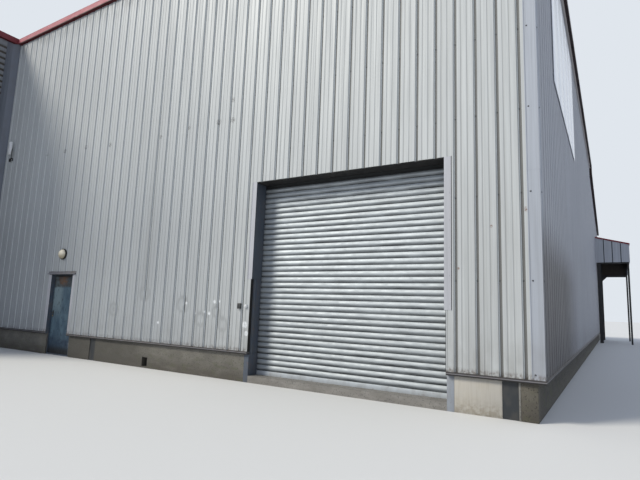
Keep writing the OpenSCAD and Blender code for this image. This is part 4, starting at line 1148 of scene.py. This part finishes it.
def door_leaf(colours):
    """Leaf with a raised border, its lock, and the finish of its handle."""
    (u0, u1), (v0, v1), (z0, z1) = span("door_leaf", FRONT)
    margin = 0.01
    bm = bmesh.new()
    cuboid(bm, FRONT, (u0, u1), (v0 + 0.0015, v1), (z0, z1), 0.003)
    plate = cuboid(bm, FRONT, (u0 + margin, u1 - margin), (v0 + 0.0005, v0 + 0.0115),
                   (z0 + margin, z1 - margin))
    outer = [f for f in bm.faces
             if f.calc_center_median().y < Y_FRONT + v0 + 0.001 and f.verts[0] in plate]
    bmesh.ops.inset_region(bm, faces=outer, thickness=0.03, depth=-0.0015)
    finish(bm, "door_leaf_skin", door_paint(colours, z0, z1), ["door_leaf"], "door")
    (_, lock_side), _, (lock_foot, _) = span("door_handle", FRONT)
    bm = bmesh.new()
    turned(bm, FRONT, lock_side - 0.02, lock_foot + 0.03, [(0, 0.019 - v0), (0.012, 0.0185 - v0),
                                                           (0.014, 0.012 - v0), (0.014, 0.002 - v0)], 20)
    brass = paint("brass_lock", linear("8a7d58"), colours, 0.35, 0.3)
    finish(bm, "lock_cylinder", brass, body="door")
    recoat(paint("black_handle_coating", linear("24272c"), colours, 0.4, 0.4, grain=0.03), "door_handle")


def door_surround(colours):
    """Finish of the frame, pale cover strips beside it and a dark strip of painted shade over it."""
    recoat(paint("dark_frame_paint", linear("404c5a"), colours, 0.5, 0.4, 0.4), "door_frame")
    head = DOOR_HEIGHT[1]
    right_strip, left_strip = 0.09, 0.14
    bm = bmesh.new()
    for u in ((DOOR[0] - right_strip, DOOR[0]), (DOOR[1], DOOR[1] + left_strip)):
        cuboid(bm, FRONT, u, (-0.004, 0.001), (WALL_BASE, head), 0.001)
    pale = coated_sheet("pale_door_strip", colours.cover, colours, width=3.0)
    finish(bm, "door_cover_strips", pale)
    bm = bmesh.new()
    cuboid(bm, FRONT, (DOOR[0] - 0.06, DOOR[1] + 0.1), (-0.0055, -0.001), (head - 0.001, head + 0.014))
    # Painted shade: a near black strip in the gap under the hood.
    dark = paint("door_head_shade_dark", linear("131315"), colours, 0.9, 0.1)
    finish(bm, "door_head_gap", dark)


def door_hood(colours):
    """Folded hood over the door, with closed ends and four screws."""
    (u0, u1), (v0, _), (z0, z1) = span("door_hood", FRONT)
    thick = 0.003
    wall_gap = 0.001
    margin = 0.08
    screws = 4
    bm = bmesh.new()
    folded(bm, FRONT, [(-wall_gap, z1), (-thick - wall_gap, z1), (-thick - wall_gap, z0 + 0.03),
                       (v0 + 0.002, z0 + 0.02), (v0, z0), (v0 + thick, z0), (v0 + 0.006, z0 + 0.016),
                       (-0.004, z0 + 0.024), (-wall_gap, z0 + 0.024)], u0, u1)
    for end in (u0, u1 - thick):
        folded(bm, FRONT, [(0, z0 + 0.024), (0, z0 + 0.034), (v0 + 0.004, z0 + 0.022),
                           (v0 + 0.004, z0 + 0.012)], end, end + thick)
    for k in range(screws):
        u = u0 + margin + k * (u1 - u0 - 2 * margin) / (screws - 1)
        screw(bm, FRONT, u, -thick - wall_gap, z1 - 0.02, SMALL_SCREW)
    coating = paint("hood_coating", linear("74747a"), colours, 0.5, 0.5)
    finish(bm, "door_hood_skin", coating, ["door_hood"])


# Fittings


def opal():
    """Opal glass of a lamp: milky, smooth and yellowed, with dust on its face and a lower half darkened as
    painted shade.
    """
    made, tree = blank("yellowed_opal_glass")
    dust = cloud(tree, (0.08, 0.08, 0.08), 0.35, 0.7, detail=4)
    middle = (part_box("lamp_base")[0].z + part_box("lamp_base")[1].z) / 2
    # Painted shade on the lower half of the dome.
    low = reach(tree, Z, middle + 0.06, middle - 0.1)
    glass = coats(tree, linear("f1e9d4"), (dust, 0.35, linear("b3a27c")), (low, 0.75, linear("857c62")))
    surface(tree, glass, between(tree, dust, 0.18, 0.45), 0.0, dust, 0.0004)
    return made


def lamp(colours):
    """Round wall lamp: a moulded base with a rim, and an opal dome."""
    (u0, u1), (v0, _), (z0, z1) = span("lamp_base", FRONT)
    u, z, radius, out = (u0 + u1) / 2, (z0 + z1) / 2, (u1 - u0) / 2, -v0
    steps = 48
    seat = out - 0.012
    bm = bmesh.new()
    turned(bm, FRONT, u, z, [(0, 0.001), (radius - 0.002, 0.001), (radius, 0.004), (radius, seat),
                             (radius - 0.004, out - 0.003), (radius - 0.014, out),
                             (radius - 0.024, out - 0.004), (radius - 0.03, seat), (0, seat)], steps)
    base = paint("moulded_brown_plastic", linear("1b1916"), colours, 0.5, 0.15, grain=0.05)
    finish(bm, "lamp_base_skin", base, ["lamp_base"])
    (u0, u1), (v0, v1), _ = span("lamp_glass", FRONT)
    radius, tall = (u1 - u0) / 2, v1 - v0
    angles = [math.radians(a) for a in range(0, 90, 9)]
    dome = [(radius * math.cos(a), out + tall * math.sin(a)) for a in angles]
    bm = bmesh.new()
    turned(bm, FRONT, u, z, [(0, out - 0.01), (radius, out - 0.01)] + dome + [(0, out + tall)], steps)
    finish(bm, "lamp_dome", opal(), ["lamp_glass"], smooth=60)


def floodlight(colours):
    """Small floodlight on a bracket: a ribbed housing on a folded arm."""
    (u0, u1), (v0, _), (z0, z1) = span("floodlight", FRONT)
    u = (u0 + u1) / 2
    tall, deep = 0.41, 0.05
    fins = 9
    fin_pitch = 0.044
    fin_in, fin_foot, fin_thick = 0.008, 0.02, 0.006
    bm = bmesh.new()
    cuboid(bm, FRONT, (u0, u1), (v0, v0 + deep), (z1 - tall, z1), 0.006)
    for k in range(fins):
        z = z1 - tall + fin_foot + k * fin_pitch
        cuboid(bm, FRONT, (u0 + fin_in, u1 - fin_in), (v0 + 0.045, v0 + 0.065), (z, z + fin_thick), 0.001)
    white = paint("white_powder_coating", linear("e4e6e8"), colours, 0.45, 0.35, grain=0.06)
    finish(bm, "floodlight_housing", white, ["floodlight"])
    # Upright bar, arm, foot plate, side arm and side leg.
    parts = (((-0.02, 0.02), (-0.062, -0.056), (z0 + 0.01, z1 - 0.2), 0.002),
             ((-0.02, 0.02), (-0.06, -0.001), (z0, z0 + 0.006), 0.002),
             ((-0.03, 0.03), (-0.008, -0.001), (z0, z0 + 0.09), 0.002),
             ((-0.02, 0.14), (-0.05, -0.02), (z0 + 0.06, z0 + 0.09), 0.004),
             ((0.11, 0.14), (-0.05, -0.001), (z0 - 0.02, z0 + 0.09), 0.004))
    bm = bmesh.new()
    for (a, b), v, z, bevel in parts:
        cuboid(bm, FRONT, (u + a, u + b), v, z, bevel)
    dark = paint("dark_bracket", linear("26282c"), colours, 0.5, 0.2)
    finish(bm, "floodlight_bracket", dark)


def switches(colours):
    """Dark push button box and pale key switch beside the shutter."""
    box_u, key_u, z = 5.65, 5.487, 1.49
    wide, tall = 0.042, 0.055
    button_up = 0.022
    bm = bmesh.new()
    cuboid(bm, FRONT, (box_u - wide, box_u + wide), (-0.045, 0.0), (z - tall, z + tall), 0.006)
    for up in (-button_up, button_up):
        turned(bm, FRONT, box_u, z + up, [(0, 0.056), (0.012, 0.054), (0.014, 0.044)], 16)
    dark = paint("dark_switch_plastic", linear("36393b"), colours, 0.5, 0.4, grain=0.03)
    finish(bm, "shutter_buttons", dark)
    bm = bmesh.new()
    turned(bm, FRONT, key_u, z, [(0, 0.001), (0.034, 0.001), (0.038, 0.006), (0.035, 0.03), (0.024, 0.038),
                                 (0.008, 0.04), (0.006, 0.03), (0, 0.03)], 20)
    pale = paint("pale_switch_plastic", linear("d9dcdd"), colours, 0.5, 0.3, grain=0.03)
    finish(bm, "shutter_key_switch", pale)


def sign_sheet(colours):
    """White coated sheet under a clear coat, with faint upright runs and patches."""
    made, tree = blank("white_coated_sign_sheet")
    runs = cloud(tree, (1, 0.02, 1.2), 0.45, 0.75, detail=4)
    patch = cloud(tree, (1, 0.6, 0.8), 0.35, 0.7, seed=2)
    film = coats(tree, colours.sign, (runs, 0.2, linear("a9b0bd")), (patch, 0.12, linear("b8c0ce")))
    surface(tree, film, between(tree, runs, 0.3, 0.5), 0.0, patch, 0.003, 1.0)
    return made


def sign(colours):
    """Bare sign board: sheets side by side on three battens, with rivets along their joints."""
    (u0, u1), (v0, _), (z0, z1) = span("sign_board", RIGHT)
    sheets = 5
    rivets = 17
    rivet_r = 0.011
    rivet_in = 0.05
    rivet_end = 0.06
    half_gap = 0.003
    thick = 0.012
    batten = 0.06
    batten_end = 0.15
    width = (u1 - u0) / sheets
    bm = bmesh.new()
    for k in range(sheets):
        a, b = u0 + k * width, u0 + (k + 1) * width
        cuboid(bm, RIGHT, (a + half_gap, b - half_gap), (v0, v0 + thick), (z0, z1), 0.003)
        for row in range(rivets):
            z = z0 + rivet_end + row * (z1 - z0 - 2 * rivet_end) / (rivets - 1)
            for side in (a + rivet_in, b - rivet_in):
                screw(bm, RIGHT, side, v0, z, rivet_r)
    for z in (z0 + batten_end, (z0 + z1 - batten) / 2, z1 - batten_end - batten):
        cuboid(bm, RIGHT, (u0 + batten, u1 - batten), (v0 + thick, 0), (z, z + batten), 0.001)
    finish(bm, "sign_board_sheets", sign_sheet(colours), ["sign_board"])


# Roofs


def ribbed(start, count, pitch, low, high):
    """Points of trapezoid ribs side by side: distance along them and height."""
    foot, crown = 0.035, 0.02
    middles = [start + (k + 0.5) * pitch for k in range(count)]
    rib = ((-foot, low), (-crown, high), (crown, high), (foot, low))
    return [(m + a, z) for m in middles for a, z in rib]


def roof_outline(v0, v1, low, high):
    """Outline in v and z of a roof slab with trapezoid ribs on top."""
    pitch = 0.25
    rib = 0.03
    ribs = ribbed(v0, math.floor((v1 - v0) / pitch), pitch, high, high + rib)
    return [(v0, low), (v0, high), *ribs, (v1, high), (v1, low)]


def roofs(s, colours):
    """Ribbed roof sheets of the hall and the wing, and the clad step between level and falling roof."""
    coating = coated_sheet("weathered_roof_coating", colours.roof, colours, s.sheet_w)
    for node in ("main_roof", "wing_roof", "rear_roof"):
        (u0, u1), (v0, v1), (z0, z1) = span(node, RIGHT)
        drop = (u1 - u0) * FALL_SLOPE if node == "rear_roof" else 0.0
        bm = bmesh.new()
        folded(bm, RIGHT, roof_outline(v0, v1, z0 + drop, z1), u0, u1, -drop)
        finish(bm, node + "_sheets", coating, [node])
    (u0, u1), (v0, v1), (z0, z1) = span("roof_step", RIGHT)
    step = wall_frame(X_RIGHT, Y_FRONT + u1, (-1, 0), (0, -1))
    bm = bmesh.new()
    wall_skin(bm, s, step, v0, v1, z0, z1, u1 - u0)
    finish(bm, "roof_step_skin", coating, ["roof_step"])


# Canopy


def canopy_slope():
    """Rise of the canopy's roof for each metre towards the wall."""
    eave = span("canopy_roof", RIGHT)
    top = span("canopy_cladding", RIGHT)[2][1]
    return (top - (eave[2][0] + 0.06)) / -eave[1][0]


def canopy_walls(colours, brown):
    """Cladding of the canopy with standing seams, and its lining painted dark brown as shade."""
    (u0, u1), (v0, _), (z_far, z1) = span("canopy_cladding", RIGHT)
    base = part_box("canopy_beams")[1].z
    slope = canopy_slope()
    thick = 0.04
    half_seam = 0.025
    strips, bays, ribs = 4, 12, 9
    rib_w = 0.03
    sheet = 0.004
    seam_v = (0.014, thick - 0.012)
    inner = v0 + thick
    skins, seams, lining = bmesh.new(), bmesh.new(), bmesh.new()
    for start, low, inside in ((u0, base, u0 + thick), (u1 - thick, z_far, u1 - thick - sheet)):
        for k in range(strips):
            a = v0 * k / strips - (half_seam if k else 0)
            b = v0 * (k + 1) / strips + (half_seam if k < strips - 1 else 0)
            folded(skins, RIGHT, [(a, low), (b, low), (b, z1 + b * slope), (a, z1 + a * slope)], start,
                   start + thick)
        folded(seams, RIGHT, [(-0.01, low + 0.004), (v0 + 0.01, low + 0.004),
                              (v0 + 0.01, z1 - 0.01 + v0 * slope), (-0.01, z1 - 0.01)],
               start + seam_v[0], start + seam_v[1])
        folded(lining, RIGHT, [(-0.002, low + 0.004), (inner, low + 0.004),
                               (inner, z1 - 0.08 + inner * slope), (-0.002, z1 - 0.08)],
               inside, inside + sheet)
        for k in range(ribs):
            v = v0 * (k + 0.8) / (ribs + 1)
            cuboid(lining, RIGHT, (inside - 0.003, inside + 0.007), (v - rib_w, v),
                   (low + 0.006, z1 - 0.12 + v * slope))
    outer = wall_frame(X_RIGHT - v0, Y_FRONT, (0, 1), (-1, 0))
    width = (u1 - u0 - 2 * thick) / bays
    for k in range(bays):
        a = u0 + thick + k * width + half_seam
        b = a + width - 2 * half_seam
        prism(skins, [(a, 0), (b, 0), (b, thick), (a, thick)], base, z1 + v0 * slope, outer)
    inside = (u0 + thick, u1 - thick)
    cuboid(seams, outer, inside, seam_v, (base + 0.004, z1 + v0 * slope - 0.01))
    cuboid(lining, outer, inside, (thick, thick + sheet), (base + 0.004, z1 + inner * slope - 0.08))
    coating = coated_sheet("canopy_coil_coating", linear("bec2c9"), colours, width=0.6)
    finish(skins, "canopy_cladding_skin", coating, ["canopy_cladding"])
    dark = paint("dark_canopy_seams", linear("2f3338"), colours, 0.8, 0.2)
    finish(seams, "canopy_seams", dark, ["canopy_cladding"])
    finish(lining, "canopy_lining", brown)


def canopy_cover(colours, brown):
    """Ribbed roof sheet of the canopy and the soffit below it, painted dark brown as shade."""
    (u0, u1), (v0, _), (_, z1) = span("canopy_roof", RIGHT)
    slope = canopy_slope()
    ribs = 22
    low, pan, crest = z1 - 0.055, z1 - 0.03, z1 - 0.001
    soffit_low, soffit_high = z1 - 0.075, z1 - 0.062
    outline = [(u0, low), (u0, pan), *ribbed(u0, ribs, (u1 - u0) / ribs, pan, crest), (u1, pan), (u1, low)]
    bm = bmesh.new()
    prism(bm, outline, 0, -v0, RIGHT @ OUTWARDS, v0 * slope)
    coating = coated_sheet("canopy_roof_coating", colours.roof, colours, width=1.0)
    finish(bm, "canopy_roof_sheets", coating, ["canopy_roof"])
    bm = bmesh.new()
    folded(bm, RIGHT, [(0, soffit_low), (0, soffit_high), (v0, soffit_high + v0 * slope),
                       (v0, soffit_low + v0 * slope)], u0 + 0.002, u1 - 0.002)
    finish(bm, "canopy_soffit", brown)


def canopy_verge(colours):
    """Red folded verges and eaves trim of the canopy, over the CAD trim's lines."""
    (u0, u1), (v0, _), (_, z1) = span("canopy_trim", RIGHT)
    slope = canopy_slope()
    band = 0.09
    lap = 0.09
    nick = 0.004
    top = z1 - band
    bm = bmesh.new()
    for start, end, v in ((u0, u0 + lap, 0), (u1 - lap, u1, 0), (u0 + lap, u1 - lap, v0 + lap)):
        near, far = top + v * slope, top + v0 * slope
        folded(bm, RIGHT, [(v, near), (v0, far), (v0, far + band - nick), (v0 + nick, far + band),
                           (v, near + band)], start, end)
    coating = coated_sheet("canopy_red_coating", linear("85202e"), colours, width=2.0)
    finish(bm, "canopy_trim_skin", coating, ["canopy_trim"])


def canopy(colours):
    """Small canopy at the rear of the right wall."""
    # Painted shade: the dark brown of the lining and soffit inside the canopy.
    brown = paint("dark_brown_lining", linear("332b26"), colours, 0.7, 0.2)
    canopy_walls(colours, brown)
    canopy_cover(colours, brown)
    canopy_verge(colours)


# Stage


def studio_light(look):
    """World that lights evenly, and shows a pale backdrop to the camera and in reflections."""
    world = bpy.data.worlds.new("soft_studio")
    world.use_nodes = True
    tree = world.node_tree
    tree.nodes.clear()
    ray = add(tree, "ShaderNodeLightPath")
    seen = either(tree, *[ray.outputs[f"Is {kind} Ray"] for kind in ("Camera", "Glossy", "Transmission")])
    light = add(tree, "ShaderNodeBackground", {"Color": (*look.sky_colour, 1), "Strength": look.sky})
    back = add(tree, "ShaderNodeBackground", {"Color": (*look.backdrop, 1), "Strength": 1.0})
    mixed = add(tree, "ShaderNodeMixShader", {0: seen, 1: light.outputs[0], 2: back.outputs[0]})
    add(tree, "ShaderNodeOutputWorld", {"Surface": mixed.outputs[0]})
    bpy.context.scene.world = world


def stage(look):
    """Pale floor, pale backdrop, soft light from the front left and the camera at the photograph's place."""
    scene = bpy.context.scene
    half_floor = 400
    below = 0.001
    bm = bmesh.new()
    bmesh.ops.create_grid(bm, x_segments=1, y_segments=1, size=half_floor)
    bmesh.ops.translate(bm, vec=(0, 0, -below), verts=bm.verts)
    mesh = bpy.data.meshes.new("floor")
    bm.to_mesh(mesh)
    bm.free()
    made, tree = blank("pale_floor")
    surface(tree, look.floor, 0.9)
    mesh.materials.append(made)
    floor = bpy.data.objects.new("floor", mesh)
    scene.collection.objects.link(floor)
    studio_light(look)

    sun = bpy.data.lights.new("soft_key", "SUN")
    sun.energy = look.sun
    sun.color = look.sun_colour
    sun.angle = look.sun_size
    key = bpy.data.objects.new("soft_key", sun)
    key.rotation_euler = Vector(look.sun_run).to_track_quat("-Z", "Y").to_euler()
    scene.collection.objects.link(key)

    data = bpy.data.cameras.new("camera")
    data.sensor_width = 36
    data.lens = look.lens
    data.clip_end = 1000
    camera = bpy.data.objects.new("camera", data)
    camera.location = look.eye
    camera.rotation_euler = look.turn
    scene.collection.objects.link(camera)
    scene.camera = camera
    scene.view_settings.view_transform = "Standard"


# Operators, panel and registration


class HALL_OT_stage(bpy.types.Operator):
    """Add the floor, the backdrop, the light and the camera"""
    bl_idname = "hall.stage"
    bl_label = "Stage"

    def execute(self, context):
        stage(context.scene.hall_stage)
        return {"FINISHED"}


class HALL_OT_front(bpy.types.Operator):
    """Clad the main front"""
    bl_idname = "hall.front"
    bl_label = "Front cladding"

    def execute(self, context):
        clad_front(context.scene.hall_sizes, context.scene.hall_colours)
        return {"FINISHED"}


class HALL_OT_sides(bpy.types.Operator):
    """Clad the right, left and rear walls"""
    bl_idname = "hall.sides"
    bl_label = "Side and rear cladding"

    def execute(self, context):
        clad_sides(context.scene.hall_sizes, context.scene.hall_colours)
        return {"FINISHED"}


class HALL_OT_wing(bpy.types.Operator):
    """Clad the wing with level ribs"""
    bl_idname = "hall.wing"
    bl_label = "Wing cladding"

    def execute(self, context):
        clad_wing(context.scene.hall_sizes, context.scene.hall_colours)
        return {"FINISHED"}


class HALL_OT_flashings(bpy.types.Operator):
    """Add the corner flashings and the drip flashing"""
    bl_idname = "hall.flashings"
    bl_label = "Flashings"

    def execute(self, context):
        for build in (corner_covers, inner_corner, drips):
            build(context.scene.hall_sizes, context.scene.hall_colours)
        return {"FINISHED"}


class HALL_OT_trims(bpy.types.Operator):
    """Add the red roof trims and the foam strips under them"""
    bl_idname = "hall.trims"
    bl_label = "Roof trims"

    def execute(self, context):
        trims(context.scene.hall_sizes, context.scene.hall_colours)
        closures(context.scene.hall_colours)
        return {"FINISHED"}


class HALL_OT_base(bpy.types.Operator):
    """Finish the plinth, the floors and the steel frame"""
    bl_idname = "hall.base"
    bl_label = "Plinth and frame"

    def execute(self, context):
        plinths(context.scene.hall_colours)
        steel_frame(context.scene.hall_colours)
        return {"FINISHED"}


class HALL_OT_shutter(bpy.types.Operator):
    """Add the roller shutter and what frames its opening"""
    bl_idname = "hall.shutter"
    bl_label = "Roller shutter"

    def execute(self, context):
        shutter(context.scene.hall_sizes, context.scene.hall_colours)
        for build in (jambs, jamb_covers, open_edges):
            build(context.scene.hall_colours)
        return {"FINISHED"}


class HALL_OT_door(bpy.types.Operator):
    """Add the personnel door, what surrounds it and its hood"""
    bl_idname = "hall.door"
    bl_label = "Door"

    def execute(self, context):
        for build in (door_leaf, door_surround, door_hood):
            build(context.scene.hall_colours)
        return {"FINISHED"}


class HALL_OT_fittings(bpy.types.Operator):
    """Add the lamps, the switches and the sign board"""
    bl_idname = "hall.fittings"
    bl_label = "Fittings"

    def execute(self, context):
        for build in (lamp, floodlight, switches, sign):
            build(context.scene.hall_colours)
        return {"FINISHED"}


class HALL_OT_roofs(bpy.types.Operator):
    """Add the roof sheets and the canopy"""
    bl_idname = "hall.roofs"
    bl_label = "Roofs and canopy"

    def execute(self, context):
        roofs(context.scene.hall_sizes, context.scene.hall_colours)
        canopy(context.scene.hall_colours)
        return {"FINISHED"}


STEPS = (HALL_OT_stage, HALL_OT_front, HALL_OT_sides, HALL_OT_wing, HALL_OT_flashings, HALL_OT_trims,
         HALL_OT_base, HALL_OT_shutter, HALL_OT_door, HALL_OT_fittings, HALL_OT_roofs)


class HALL_PT_panel(bpy.types.Panel):
    """Lists the steps that dress the hall"""
    bl_idname = "HALL_PT_panel"
    bl_label = "Factory hall"
    bl_space_type = "VIEW_3D"
    bl_region_type = "UI"
    bl_category = "Factory hall"

    def draw(self, context):
        for step in STEPS:
            self.layout.operator(step.bl_idname)
        for group in (context.scene.hall_sizes, context.scene.hall_colours, context.scene.hall_stage):
            column = self.layout.column()
            for name in group.__annotations__:
                column.prop(group, name)


CLASSES = (HallSizes, HallColours, HallStage, *STEPS, HALL_PT_panel)


def register():
    for item in CLASSES:
        bpy.utils.register_class(item)
    bpy.types.Scene.hall_sizes = bpy.props.PointerProperty(type=HallSizes)
    bpy.types.Scene.hall_colours = bpy.props.PointerProperty(type=HallColours)
    bpy.types.Scene.hall_stage = bpy.props.PointerProperty(type=HallStage)


def unregister():
    del bpy.types.Scene.hall_stage
    del bpy.types.Scene.hall_colours
    del bpy.types.Scene.hall_sizes
    for item in reversed(CLASSES):
        bpy.utils.unregister_class(item)


def main():
    """Runs every step in order."""
    register()
    for step in STEPS:
        space, name = step.bl_idname.split(".")
        getattr(getattr(bpy.ops, space), name)()


if __name__ == "__main__":
    main()
